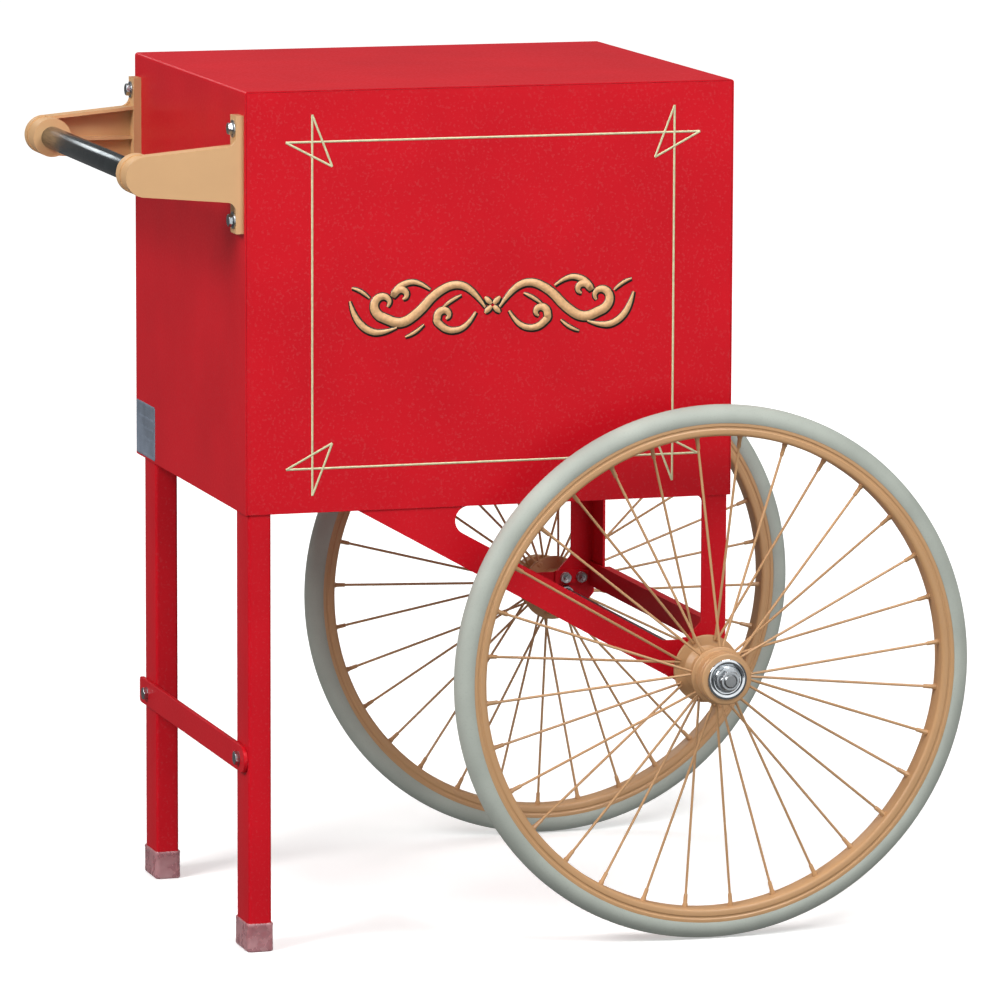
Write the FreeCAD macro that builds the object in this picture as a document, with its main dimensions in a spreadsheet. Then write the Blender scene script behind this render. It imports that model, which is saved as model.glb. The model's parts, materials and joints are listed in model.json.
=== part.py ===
"""Two-wheeled popcorn cart: sheet-steel cabinet, two legs, push handle and spoked wheels.

Millimetres, +Z up. The origin is at floor level under the middle of the cart. X runs from the
handle end (-X) to the wheel end (+X), and Y from the decorated side (-Y) to the door side (+Y).
"""
import FreeCAD, Part
import math
import os
import re
import Sketcher

doc = FreeCAD.newDocument("popcorn_cart")
dims = doc.addObject("Spreadsheet::Sheet", "Dims")
aliases = []
nodes = []


# ---------------------------------------------------------------- driving dimensions
def dimension(alias, value, meaning):
    """Add one row to the sheet: what the dimension is, and its value under an alias."""
    row = len(aliases) + 1
    dims.set(f"A{row}", meaning)
    dims.set(f"B{row}", str(value))
    dims.setAlias(f"B{row}", alias)
    aliases.append(alias)


dimension("gauge", 1.2, "cabinet sheet thickness")
dimension("seam", 0.25, "gap between neighbouring panels")
dimension("cab_left", -285, "X of the cabinet's handle end")
dimension("cab_right", 185, "X of the cabinet's wheel end")
dimension("half_depth", 203, "half of the cabinet's depth")
dimension("cab_bottom", 410, "height of the cabinet's bottom edge")
dimension("cab_top", 800, "height of the top deck")
dimension("bend", 3, "outer radius of the bends along the top edges")
dimension("lip", 18, "depth of the flanges inside the cabinet")
dimension("floor_lip", 26, "height of the floor pan's side flanges")
dimension("floor_left_lip", 68, "height of the floor pan's flange behind the legs")
dimension("stile_left", 45, "width of the rear stile at the hinge side")
dimension("stile_right", 25, "width of the rear stile at the catch side")
dimension("opening_low", 527, "height of the door opening's lower edge")
dimension("opening_high", 773, "height of the door opening's upper edge")
dimension("rear_lip", 13, "depth of the lips round the door opening")
dimension("overlap", 12, "door overlap on the frame")
dimension("door_gap", 0.4, "gap between door and frame")
dimension("door_deep", 14, "depth of the door pan")
dimension("axle_x", 151, "X of the axle")
dimension("axle_z", 252, "height of the axle")
dimension("axle_radius", 6.35, "axle radius, half-inch rod")
dimension("axle_half", 308, "half of the axle's length")
dimension("plate", 2.5, "axle bracket thickness")
dimension("bracket_left", -177.5, "X where the bracket arm meets the cabinet")
dimension("boss_radius", 23.3, "radius of the bracket's lower end about the axle")
dimension("hole_round", 13.5, "radius of the rounded end of the bracket opening")
dimension("strut_inset", 3.5, "distance of the strut's rear edge from the cabinet's wheel end")
dimension("strut_width", 24, "width of the upright part of the bracket")
dimension("flange_deep", 22, "depth of the bracket arm's flange")
dimension("strut_deep", 38, "depth of the bracket's rear flange")
dimension("beam_low", 260, "height of the cross beam's lower edge")
dimension("beam_high", 284, "height of the cross beam's upper edge")
dimension("beam_x", 176, "X of the cross beam's web")
dimension("beam_wide", 9, "width of the cross beam's flanges")
dimension("beam_tab_wide", 38, "width of the tab at each end of the cross beam")
dimension("beam_tab_tall", 13, "height of the tab at each end of the cross beam")
dimension("half_track", 256.5, "Y distance from the middle to a wheel's centre plane")
dimension("tyre_radius", 252, "outer radius of the tyre, 20 inch wheel")
dimension("tyre_section", 13, "radius of the tyre's cross-section")
dimension("rim_outer", 236, "radius of the rim's lips")
dimension("rim_inner", 223.3, "radius of the rim's inner face")
dimension("rim_half", 11, "half of the rim's width")
dimension("hub_half", 40, "half of the hub's length at the outer side")
dimension("hub_back", 36, "half of the hub's length at the inner side")
dimension("hub_radius", 24.3, "radius of the hub's outer shell")
dimension("outer_flange", 27, "radius of the hub's outer spoke flange")
dimension("inner_flange", 32, "radius of the hub's inner spoke flange")
dimension("flange_out", 17, "distance of the outer flange from the wheel's centre plane")
dimension("flange_in", 20, "distance of the inner flange from the wheel's centre plane")
dimension("spoke_radius", 1.25, "spoke radius")
dimension("nipple_radius", 2.1, "spoke nipple radius")
dimension("nipple_long", 12, "spoke nipple length")
dimension("spoke_count", 32, "spokes in one wheel")
dimension("spoke_lead", 9.5, "angle between a spoke's hub end and its rim end, degrees")
dimension("spoke_phase", 4.75, "angle of the first spoke's rim end above +X, degrees")
dimension("bush_radius", 15, "outer radius of the hub bushes")
dimension("cap_radius", 19, "radius of the bush's visible flange")
dimension("bolt_shank", 3, "shank radius of the small hex bolts")
dimension("bolt_hole", 3.2, "radius of the holes for the small hex bolts")
dimension("bolt_head", 5.8, "corner radius of the small bolts' heads and nuts")
dimension("bolt_head_high", 4, "height of the small bolts' heads")
dimension("nut_high", 5, "height of the small nuts")
dimension("rivet", 1.6, "rivet shank radius")
dimension("run_clear", 0.05, "radial running clearance on shafts and pins")
dimension("end_clear", 0.3, "end clearance of a wheel on its axle")
dimension("leg_wide", 22, "leg tube width along X")
dimension("leg_deep", 43, "leg tube depth along Y")
dimension("leg_wall", 1.6, "leg tube wall")
dimension("leg_top", 485, "height of the leg's upper end, inside the cabinet")
dimension("leg_inset", 2.8, "distance of the leg's outer face inside the cabinet's end")
dimension("far_leg_inset", 20, "distance of the rear leg from the cabinet's rear face")
dimension("cap_wall", 1.8, "foot cap wall")
dimension("cap_high", 27, "foot cap height")
dimension("cap_floor", 4, "foot cap floor thickness")
dimension("brace_z", 180, "height of the leg brace")
dimension("brace_tall", 25, "height of the leg brace bar")
dimension("brace_thick", 4, "thickness of the leg brace bar")
dimension("bar_x", -377, "X of the handle bar")
dimension("bar_z", 724, "height of the handle bar")
dimension("bar_radius", 10.75, "handle bar radius")
dimension("bar_wall", 1.6, "handle bar wall")
dimension("cup_radius", 18.5, "radius of the bracket's round end")
dimension("cup_deep", 38, "depth of the bracket's round end")
dimension("cup_step", 1, "radius lost between the round end's outer disc and its inner collar")
dimension("cup_disc", 10, "thickness of the round end's outer disc")
dimension("cup_collar", 13, "length of the round end's inner collar")
dimension("web", 4, "thickness of the bracket's outer web")
dimension("rib", 3, "thickness of the bracket's ribs")
dimension("mount_wide", 20, "width of the bracket's base plate")
dimension("mount_tall", 108, "height of the bracket's base plate")
dimension("mount_thick", 7.3, "thickness of the bracket's base plate")
dimension("grip_y", 199, "Y distance of the bracket's outer face")
dimension("arm_root", 26, "half height of the bracket arm at the base plate")
dimension("hinge_x", -255.8, "X of the door hinge's axis")
dimension("hinge_y", 207.4, "Y of the door hinge's axis")
dimension("knuckle", 4, "hinge knuckle radius")
dimension("pin_radius", 2, "hinge pin radius")
dimension("knuckle_tall", 20, "height of one hinge knuckle")
dimension("hinge_tall", 60, "height of one hinge, three knuckles")
dimension("leaf_wide", 20, "width of the hinge leaf on the frame")
dimension("leaf_thick", 1.6, "thickness of the hinge leaf on the frame")
dimension("hinge_low_z", 545, "height of the lower hinge's lower end")
dimension("hinge_pitch", 150, "distance between the two hinges")
dimension("pull_x", 140, "X of the door pull")
dimension("pull_z", 650, "height of the door pull's middle")
dimension("pull_half", 48, "half of the distance between the pull's feet")
dimension("pull_radius", 4.5, "radius of the door pull's bar")
dimension("pull_reach", 24, "distance of the pull's middle line from the door")
dimension("pull_bend", 12, "bend radius of the pull's middle line")
dimension("pull_hole", 2.1, "radius of the pull's screw holes")
dimension("catch_z", 650, "height of the magnetic catch's middle")
doc.recompute()


def cells(text):
    """Return an expression in which each dimension's name points at its cell."""
    return re.sub(r"[a-z_]+", lambda word: ("Dims." if word.group() in aliases else "") + word.group(), text)


def size(alias):
    """Return a dimension's number, for shapes that are set by Part's own functions."""
    return float(dims.get(alias))


def bind(item, prop, text):
    """Bind a property to an expression of dimensions."""
    item.setExpression(prop, cells(text))


def place(item, at, rotation=None):
    """Put an object at a position given by three expressions."""
    if rotation is not None:
        item.Placement = FreeCAD.Placement(FreeCAD.Vector(), rotation)
    for axis, text in zip("xyz", at):
        bind(item, f".Placement.Base.{axis}", text)


# ---------------------------------------------------------------- building blocks
X_AXIS = FreeCAD.Vector(1, 0, 0)
Y_AXIS = FreeCAD.Vector(0, 1, 0)
Z_AXIS = FreeCAD.Vector(0, 0, 1)


def turn(direction):
    """Return the rotation that takes +Z to a direction."""
    return FreeCAD.Rotation(Z_AXIS, direction)


def box(name, low, spans):
    """Make a box from its low corner and its three spans, all expressions."""
    solid = doc.addObject("Part::Box", name)
    for prop, text in zip(("Length", "Width", "Height"), spans):
        bind(solid, prop, text)
    place(solid, low)
    return solid


def rod(name, at, direction, radius, length):
    """Make a cylinder that starts at a point and runs in a direction."""
    solid = doc.addObject("Part::Cylinder", name)
    bind(solid, "Radius", radius)
    bind(solid, "Height", length)
    place(solid, at, turn(direction))
    return solid


def hexagon(name, at, direction, radius, length):
    """Make a hexagonal prism by its corner radius."""
    solid = doc.addObject("Part::Prism", name)
    solid.Polygon = 6
    bind(solid, "Circumradius", radius)
    bind(solid, "Height", length)
    place(solid, at, turn(direction))
    return solid


def fuse(name, members):
    solid = doc.addObject("Part::MultiFuse", name)
    solid.Shapes = members
    return solid


def cut(name, base, tool):
    solid = doc.addObject("Part::Cut", name)
    solid.Base = base
    solid.Tool = tool
    return solid


def group(name, members):
    """Hold like pieces as separate solids of one node."""
    solid = doc.addObject("Part::Compound", name)
    solid.Links = members
    return solid


def mirrored(name, source):
    """Make the piece of the other side, mirrored in the plane Y = 0."""
    solid = doc.addObject("Part::Mirroring", name)
    solid.Source = source
    solid.Normal = Y_AXIS
    return solid


def node(label, item):
    """Give an object the label that names its file."""
    item.Label = label
    nodes.append(item)
    return item


def new_body(name):
    return doc.addObject("PartDesign::Body", name)


def origin_item(body, role):
    for feature in body.Origin.OriginFeatures:
        if feature.Role == role:
            return feature
    raise ValueError(f"{body.Name} has no {role}")


def outline(body, plane, name, loops):
    """Sketch closed loops of straight lines whose corners are pairs of expressions."""
    sketch = body.newObject("Sketcher::SketchObject", name)
    sketch.AttachmentSupport = [(origin_item(body, plane), "")]
    sketch.MapMode = "FlatFace"
    first = 0
    for corners in loops:
        count = len(corners)
        starts = []
        for index in range(count):
            angle = 2 * math.pi * index / count
            starts.append(FreeCAD.Vector(10 * math.cos(angle), 10 * math.sin(angle), 0))
        for index in range(count):
            sketch.addGeometry(Part.LineSegment(starts[index], starts[(index + 1) % count]))
        for index in range(count):
            following = first + (index + 1) % count
            sketch.addConstraint(Sketcher.Constraint("Coincident", first + index, 2, following, 1))
        for index, (across, up) in enumerate(corners):
            start = starts[index]
            for kind, value, text in (("DistanceX", start.x, across), ("DistanceY", start.y, up)):
                row = sketch.addConstraint(Sketcher.Constraint(kind, -1, 1, first + index, 1, value))
                sketch.setExpression(f"Constraints[{row}]", cells(text))
        first += count
    return sketch


def pad(body, sketch, length, away=False):
    """Pad a sketch; away is True where the pad runs against the sketch's normal."""
    feature = body.newObject("PartDesign::Pad", sketch.Name + "_pad")
    feature.Profile = sketch
    feature.Reversed = away
    bind(feature, "Length", length)
    return feature


def revolve(body, sketch):
    """Turn a sketch once round the body's Y axis."""
    feature = body.newObject("PartDesign::Revolution", sketch.Name + "_turn")
    feature.Profile = sketch
    feature.ReferenceAxis = (origin_item(body, "Y_Axis"), [""])
    feature.Angle = 360
    return feature


def round_corners(body, feature, sketch, corners, radius):
    """Fillet the padded edges that stand on the given corners of a sketch."""
    doc.recompute()
    normal = sketch.Placement.Rotation.multVec(Z_AXIS)
    names = []
    for corner in corners:
        point = sketch.Placement.multVec(sketch.Geometry[corner].StartPoint)
        for number, edge in enumerate(feature.Shape.Edges, start=1):
            if len(edge.Vertexes) != 2:
                continue
            ends = [vertex.Point for vertex in edge.Vertexes]
            along = (ends[1] - ends[0]).normalize()
            offsets = [(end - point).cross(normal).Length for end in ends]
            if abs(along.dot(normal)) > 0.999 and max(offsets) < 1e-4:
                names.append(f"Edge{number}")
    fillet = body.newObject("PartDesign::Fillet", f"{sketch.Name}_round_{corners[0]}")
    fillet.Base = (feature, names)
    bind(fillet, "Radius", radius)
    return fillet


def revolved(name, profile):
    """Make a turned body about its own Y axis from (radius, Y) corners."""
    body = new_body(name)
    revolve(body, outline(body, "XY_Plane", name + "_profile", [profile]))
    return body


def bolt(name, at, direction, head, head_high, shank, shank_long):
    """Make a hex bolt: the head stands on the point, and the shank runs the other way."""
    cap = hexagon(name + "_head", at, direction, head, head_high)
    stem = rod(name + "_shank", at, -direction, shank, shank_long)
    return fuse(name, [cap, stem])


def ring(name, at, direction, outer, inner, length):
    """Make a plain washer, spacer or tube."""
    body = rod(name + "_body", at, direction, outer, length)
    bore = rod(name + "_bore", at, direction, inner, length)
    return cut(name, body, bore)


def nut(name, at, direction, radius, inner, length):
    body = hexagon(name + "_body", at, direction, radius, length)
    bore = rod(name + "_bore", at, direction, inner, length)
    return cut(name, body, bore)


# ---------------------------------------------------------------- cabinet
def cabinet_shell():
    """Top deck and both ends in one bent sheet, with a return under the handle end."""
    body = new_body("shell")
    corners = [
        ("cab_left", "cab_bottom"), ("cab_left", "cab_top"),
        ("cab_right", "cab_top"), ("cab_right", "cab_bottom"),
        ("cab_right - gauge", "cab_bottom"), ("cab_right - gauge", "cab_top - gauge"),
        ("cab_left + gauge", "cab_top - gauge"), ("cab_left + gauge", "cab_bottom"),
    ]
    sketch = outline(body, "XZ_Plane", "shell_profile", [corners])
    sheet = pad(body, sketch, "2 * half_depth", away=True)
    outer = round_corners(body, sheet, sketch, [1, 2], "bend")
    round_corners(body, outer, sketch, [5, 6], "bend - gauge")
    place(body, ("0", "-half_depth", "0"))
    low = ("cab_left + gauge", "-half_depth + 52", "cab_bottom")
    spans = ("lip + 2", "2 * half_depth - 52 - 70", "gauge")
    node("cabinet_shell", fuse("shell_with_return", [body, box("shell_return", low, spans)]))


def front_panel():
    """Decorated side panel: a pan with flanges at both ends and along the top."""
    left = "cab_left + gauge + seam"
    right = "cab_right - gauge - seam"
    top = "cab_top - gauge - seam"
    body = new_body("front")
    plate = [(left, "cab_bottom"), (right, "cab_bottom"), (right, top), (left, top)]
    pad(body, outline(body, "XZ_Plane", "front_plate", [plate]), "gauge", away=True)
    rim = [
        (left, "cab_bottom"), (left, top), (right, top), (right, "cab_bottom"),
        (right + " - gauge", "cab_bottom"), (right + " - gauge", top + " - gauge"),
        (left + " + gauge", top + " - gauge"), (left + " + gauge", "cab_bottom"),
    ]
    pad(body, outline(body, "XZ_Plane", "front_flange", [rim]), "lip", away=True)
    place(body, ("0", "-half_depth", "0"))
    node("front_panel", body)


FLOOR_SIDE = "(half_depth - gauge - plate)"
FLOOR_LEFT = "cab_left + leg_inset + leg_wide"
TAB_RIGHT = "cab_right - 5"


def floor_bolt_points():
    """Heads of the bolts that hold the legs and the axle brackets, inside the floor pan."""
    points = []
    for y in ("-half_depth + gauge + leg_deep / 2", "half_depth - far_leg_inset - leg_deep / 2"):
        for z in ("cab_bottom + 22", "cab_bottom + 52"):
            points.append(((FLOOR_LEFT + " + gauge", y, z), X_AXIS, "gauge + leg_wall + 8"))
    for side in (-1, 1):
        for x in ("bracket_left + 25", "bracket_left + 130", "bracket_left + 235", "bracket_left + 340"):
            at = (x, f"{side} * ({FLOOR_SIDE} - gauge)", "cab_bottom + 14")
            points.append((at, Y_AXIS * -side, "gauge + plate"))
    return points


def floor_pan():
    """Cabinet floor with raised flanges on all sides, drilled for its bolts."""
    sheet = box("floor_sheet", (FLOOR_LEFT, f"-{FLOOR_SIDE}", "cab_bottom"),
                (f"{TAB_RIGHT} - ({FLOOR_LEFT})", f"2 * {FLOOR_SIDE}", "gauge"))
    behind_legs = box("floor_left_flange", (FLOOR_LEFT, f"-{FLOOR_SIDE}", "cab_bottom"),
                      ("gauge", f"2 * {FLOOR_SIDE}", "floor_left_lip"))
    wide = "half_depth - gauge - lip - 2"
    tongue = box("floor_tongue", (TAB_RIGHT, f"-({wide})", "cab_bottom"),
                 (f"cab_right - gauge - ({TAB_RIGHT})", f"2 * ({wide})", "gauge"))
    end = box("floor_end_flange", ("cab_right - 2 * gauge", f"-({wide})", "cab_bottom"),
              ("gauge", f"2 * ({wide})", "floor_lip"))
    sides = []
    for side, low in (("near", f"-{FLOOR_SIDE}"), ("far", f"{FLOOR_SIDE} - gauge")):
        flange = box(f"floor_{side}_flange", (FLOOR_LEFT, low, "cab_bottom"),
                     (f"{TAB_RIGHT} - ({FLOOR_LEFT})", "gauge", "floor_lip"))
        sides.append(flange)
    blank = fuse("floor_blank", [sheet, behind_legs, tongue, end] + sides)
    holes = []
    for index, (at, direction, _) in enumerate(floor_bolt_points()):
        holes.append(rod(f"floor_hole_{index}", at, -direction, "bolt_hole", "gauge"))
    node("floor_pan", cut("floor_drilled", blank, group("floor_holes", holes)))


def rear_frame():
    """Four folded strips round the door opening."""
    back = "half_depth - gauge"
    lip_low = "half_depth - rear_lip"
    top = "cab_top - gauge - seam"
    left = "cab_left + gauge + seam"
    left_edge = "cab_left + stile_left"
    right = "cab_right - gauge - seam"
    right_edge = "cab_right - stile_right"
    tall = f"{top} - cab_bottom"
    lip_start = "opening_low + seam"
    lip_tall = "opening_high - opening_low - 2 * seam"
    node("rear_left_stile", fuse("left_stile", [
        box("left_stile_face", (left, back, "cab_bottom"), (f"{left_edge} - ({left})", "gauge", tall)),
        box("left_stile_wall", (left, "half_depth - lip", "cab_bottom"), ("gauge", "lip", tall)),
        box("left_stile_lip", (left_edge + " - gauge", lip_low, lip_start), ("gauge", "rear_lip", lip_tall)),
    ]))
    node("rear_right_stile", fuse("right_stile", [
        box("right_stile_face", (right_edge, back, "cab_bottom"),
            (f"{right} - ({right_edge})", "gauge", tall)),
        box("right_stile_wall", (right + " - gauge", "half_depth - lip", "cab_bottom"),
            ("gauge", "lip", tall)),
        box("right_stile_lip", (right_edge, lip_low, lip_start), ("gauge", "rear_lip", lip_tall)),
    ]))
    inner = f"{left_edge} + seam"
    wide = f"{right_edge} - ({left_edge}) - 2 * seam"
    node("rear_sill", fuse("sill", [
        box("sill_face", (inner, back, "cab_bottom"), (wide, "gauge", "opening_low - cab_bottom")),
        box("sill_lip", (inner, lip_low, "opening_low - gauge"), (wide, "rear_lip", "gauge")),
    ]))
    node("rear_header", fuse("header", [
        box("header_face", (inner, back, "opening_high"), (wide, "gauge", f"{top} - opening_high")),
        box("header_lip", (inner, lip_low, "opening_high"), (wide, "rear_lip", "gauge")),
    ]))


def data_plate():
    """Blank foil plate at the lower rear corner of the handle end."""
    low = ("cab_left - 0.5", "half_depth - 73", "cab_bottom + 2")
    node("data_plate", box("plate_blank", low, ("0.5", "71", "52")))


# ---------------------------------------------------------------- door, hinges, catch and pull
DOOR_LEFT = "hinge_x + 4.4"
DOOR_RIGHT = "cab_right - stile_right + overlap"
DOOR_LOW = "opening_low - overlap"
DOOR_TALL = "opening_high - opening_low + 2 * overlap"
DOOR_BACK = "half_depth + door_gap"
DOOR_FACE = "half_depth + door_gap + door_deep"


def hinge_heights():
    return ["hinge_low_z", "hinge_low_z + hinge_pitch"]


def hinge_middle(base):
    return f"{base} + 1.5 * knuckle_tall"


def door_rivet_points():
    return [("hinge_x + 3.2", "hinge_y + 6.2", hinge_middle(base)) for base in hinge_heights()]


def frame_rivet_points():
    points = []
    for base in hinge_heights():
        for offset in ("0.5", "2.5"):
            points.append(("hinge_x - 13", "half_depth + leaf_thick", f"{base} + {offset} * knuckle_tall"))
    return points


def door_panel():
    """Door pan: a face sheet with a flange all round, drilled for hinges and pull."""
    wide = f"{DOOR_RIGHT} - ({DOOR_LEFT})"
    outer = box("door_outer", (DOOR_LEFT, DOOR_BACK, DOOR_LOW), (wide, "door_deep", DOOR_TALL))
    inner = box("door_inner", (f"{DOOR_LEFT} + gauge", DOOR_BACK, f"{DOOR_LOW} + gauge"),
                (f"{wide} - 2 * gauge", "door_deep - gauge", f"{DOOR_TALL} - 2 * gauge"))
    pan = cut("door_pan", outer, inner)
    holes = []
    for index, at in enumerate(door_rivet_points()):
        holes.append(rod(f"door_rivet_hole_{index}", at, X_AXIS, "rivet", "4"))
    for index, sign in enumerate((-1, 1)):
        at = ("pull_x", DOOR_FACE + " - gauge", f"pull_z + {sign} * pull_half")
        holes.append(rod(f"door_pull_hole_{index}", at, Y_AXIS, "pull_hole", "gauge"))
    node("door_panel", cut("door_drilled", pan, group("door_holes", holes)))


def knuckles(name, base, rows, bore):
    """Hinge knuckles at the given rows of one hinge."""
    made = []
    for row in rows:
        at = ("hinge_x", "hinge_y", f"{base} + {row} * knuckle_tall + end_clear / 2")
        made.append(ring(f"{name}_{row}", at, Z_AXIS, "knuckle", bore, "knuckle_tall - end_clear"))
    return made


def frame_leaf(index, base):
    """The leaf that is riveted to the frame, with the upper and the lower knuckle."""
    plate = box(f"frame_leaf_{index}", ("hinge_x - leaf_wide", "half_depth", base),
                ("leaf_wide", "leaf_thick", "hinge_tall"))
    gap = box(f"frame_leaf_gap_{index}", ("hinge_x - 4.4", "half_depth", f"{base} + knuckle_tall"),
              ("5", "2", "knuckle_tall"))
    blank = cut(f"frame_leaf_cut_{index}", plate, gap)
    made = [blank] + knuckles(f"frame_knuckle_{index}", base, (0, 2), "pin_radius - 0.1")
    leaf = fuse(f"frame_leaf_whole_{index}", made)
    hollows = [rod(f"frame_bore_{index}", ("hinge_x", "hinge_y", base), Z_AXIS, "pin_radius", "hinge_tall")]
    for row, at in enumerate(frame_rivet_points()):
        hollows.append(rod(f"frame_leaf_hole_{index}_{row}", at, -Y_AXIS, "rivet", "leaf_thick"))
    return cut(f"frame_leaf_done_{index}", leaf, group(f"frame_leaf_holes_{index}", hollows))


def door_leaf(index, base):
    """The leaf that is riveted to the door's flange, with the middle knuckle."""
    low = ("hinge_x + 3.2", "hinge_y", f"{base} + knuckle_tall + end_clear / 2")
    plate = box(f"door_leaf_{index}", low, ("gauge", "8.4", "knuckle_tall - end_clear"))
    made = [plate] + knuckles(f"door_knuckle_{index}", base, (1,), "pin_radius")
    leaf = fuse(f"door_leaf_whole_{index}", made)
    bore = rod(f"door_bore_{index}", ("hinge_x", "hinge_y", base), Z_AXIS, "pin_radius + run_clear",
               "hinge_tall")
    hole = rod(f"door_leaf_hole_{index}", door_rivet_points()[index], X_AXIS, "rivet", "gauge")
    return cut(f"door_leaf_done_{index}", leaf, group(f"door_leaf_holes_{index}", [bore, hole]))


def hinge_pin(index, base):
    """A headed pin, fast in the frame leaf's knuckles."""
    stem = rod(f"pin_stem_{index}", ("hinge_x", "hinge_y", base), Z_AXIS, "pin_radius", "hinge_tall")
    top = ("hinge_x", "hinge_y", f"{base} + hinge_tall")
    return fuse(f"pin_{index}", [stem, rod(f"pin_head_{index}", top, Z_AXIS, "knuckle - 1", "1.5")])


def hinges():
    """Two butt hinges: a leaf on the frame, a leaf on the door and a pin in each."""
    heights = list(enumerate(hinge_heights()))
    node("hinge_frame_leaves", group("frame_leaves", [frame_leaf(index, base) for index, base in heights]))
    node("hinge_door_leaves", group("door_leaves", [door_leaf(index, base) for index, base in heights]))
    node("hinge_pins", group("pins", [hinge_pin(index, base) for index, base in heights]))


def hinge_rivets():
    """Domed rivets through the hinge leaves."""
    door_side = []
    for index, at in enumerate(door_rivet_points()):
        head = rod(f"door_rivet_head_{index}", at, -X_AXIS, "2", "0.9")
        stem = rod(f"door_rivet_stem_{index}", at, X_AXIS, "rivet", "2 * gauge")
        door_side.append(fuse(f"door_rivet_{index}", [head, stem]))
    node("hinge_door_rivets", group("door_rivets", door_side))
    frame_side = []
    for index, at in enumerate(frame_rivet_points()):
        head = rod(f"frame_rivet_head_{index}", at, Y_AXIS, "3", "1.1")
        stem = rod(f"frame_rivet_stem_{index}", at, -Y_AXIS, "rivet", "leaf_thick")
        frame_side.append(fuse(f"frame_rivet_{index}", [head, stem]))
    node("hinge_frame_rivets", group("frame_rivets", frame_side))


def pull_path(reach, bend, half):
    """A U-shaped line: out of the door, along it and back, with rounded corners."""
    arc = bend * (1 - math.cos(math.pi / 4))

    def at(out, up):
        return FreeCAD.Vector(0, out, up)

    return Part.Wire([
        Part.LineSegment(at(0, -half), at(reach - bend, -half)).toShape(),
        Part.Arc(at(reach - bend, -half), at(reach - arc, arc - half), at(reach, bend - half)).toShape(),
        Part.LineSegment(at(reach, bend - half), at(reach, half - bend)).toShape(),
        Part.Arc(at(reach, half - bend), at(reach - arc, half - arc), at(reach - bend, half)).toShape(),
        Part.LineSegment(at(reach - bend, half), at(0, half)).toShape(),
    ])


def door_pull():
    """Round-bar pull on the catch side of the door, with two screws from inside."""
    half = size("pull_half")
    section = Part.Wire(Part.Circle(FreeCAD.Vector(0, 0, -half), Y_AXIS, size("pull_radius")).toShape())
    solid = pull_path(size("pull_reach"), size("pull_bend"), half).makePipeShell([section], True, True)
    for sign in (-1, 1):
        foot = FreeCAD.Vector(0, 0, sign * half)
        solid = solid.cut(Part.makeCylinder(size("pull_hole"), 9, foot, Y_AXIS))
    pull = doc.addObject("Part::Feature", "pull")
    pull.Shape = solid
    place(pull, ("pull_x", DOOR_FACE, "pull_z"))
    node("door_pull", pull)
    screws = []
    for index, sign in enumerate((-1, 1)):
        at = ("pull_x", DOOR_FACE + " - gauge", f"pull_z + {sign} * pull_half")
        head = rod(f"pull_screw_head_{index}", at, -Y_AXIS, "4", "2.4")
        stem = rod(f"pull_screw_stem_{index}", at, Y_AXIS, "pull_hole - 0.1", "gauge + 8")
        screws.append(fuse(f"pull_screw_{index}", [head, stem]))
    node("door_pull_screws", group("pull_screws", screws))


def magnetic_catch():
    """Catch on the frame's lip, and the door's top-hat strike that it holds."""
    right = "cab_right - stile_right"
    case = box("catch_block", (right + " - 16", "half_depth - 19", "catch_z - 26"), ("16", "18.6", "52"))
    pocket = box("catch_pocket", (right + " - 11.5", "half_depth - 13", "catch_z - 16"), ("7", "13", "32"))
    screw_holes = []
    screws = []
    for index, sign in enumerate((-1, 1)):
        at = (right + " - 16", "half_depth - 7", f"catch_z + {sign} * 21")
        screw_holes.append(rod(f"catch_hole_{index}", at, X_AXIS, "1.7", "16"))
        head = rod(f"catch_screw_head_{index}", at, -X_AXIS, "3.2", "1.8")
        stem = rod(f"catch_screw_stem_{index}", at, X_AXIS, "1.6", "16")
        screws.append(fuse(f"catch_screw_{index}", [head, stem]))
    node("catch_case", cut("catch_drilled", case, group("catch_hollows", [pocket] + screw_holes)))
    node("catch_screws", group("catch_screw_pair", screws))
    magnet = box("catch_bar", (right + " - 11.5", "half_depth - 13", "catch_z - 16"), ("7", "13.1", "32"))
    node("catch_magnet", magnet)
    face_y = "half_depth + door_gap + 0.2"
    inner_face = f"{DOOR_FACE} - gauge"
    leg = f"{inner_face} - ({face_y})"
    left = right + " - 16"
    node("catch_strike", fuse("strike", [
        box("strike_face", (left, face_y, "catch_z - 20"), ("14", "gauge", "40")),
        box("strike_leg_a", (left, face_y, "catch_z - 20"), ("gauge", leg, "40")),
        box("strike_leg_b", (left + " + 14 - gauge", face_y, "catch_z - 20"), ("gauge", leg, "40")),
        box("strike_foot_a", (left + " - 7", f"{inner_face} - gauge", "catch_z - 20"), ("8", "gauge", "40")),
        box("strike_foot_b", (left + " + 13", f"{inner_face} - gauge", "catch_z - 20"), ("8", "gauge", "40")),
    ]))


# ---------------------------------------------------------------- axle brackets, beam and axle
ARM_SLOPE = "(169 / 300.5)"
BRACKET_FACE = "(half_depth - gauge)"
BEAM_BOLT_X = ("axle_x", "axle_x + 16.5")
BEAM_BOLT_Z = "beam_low + 8.5"


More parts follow.
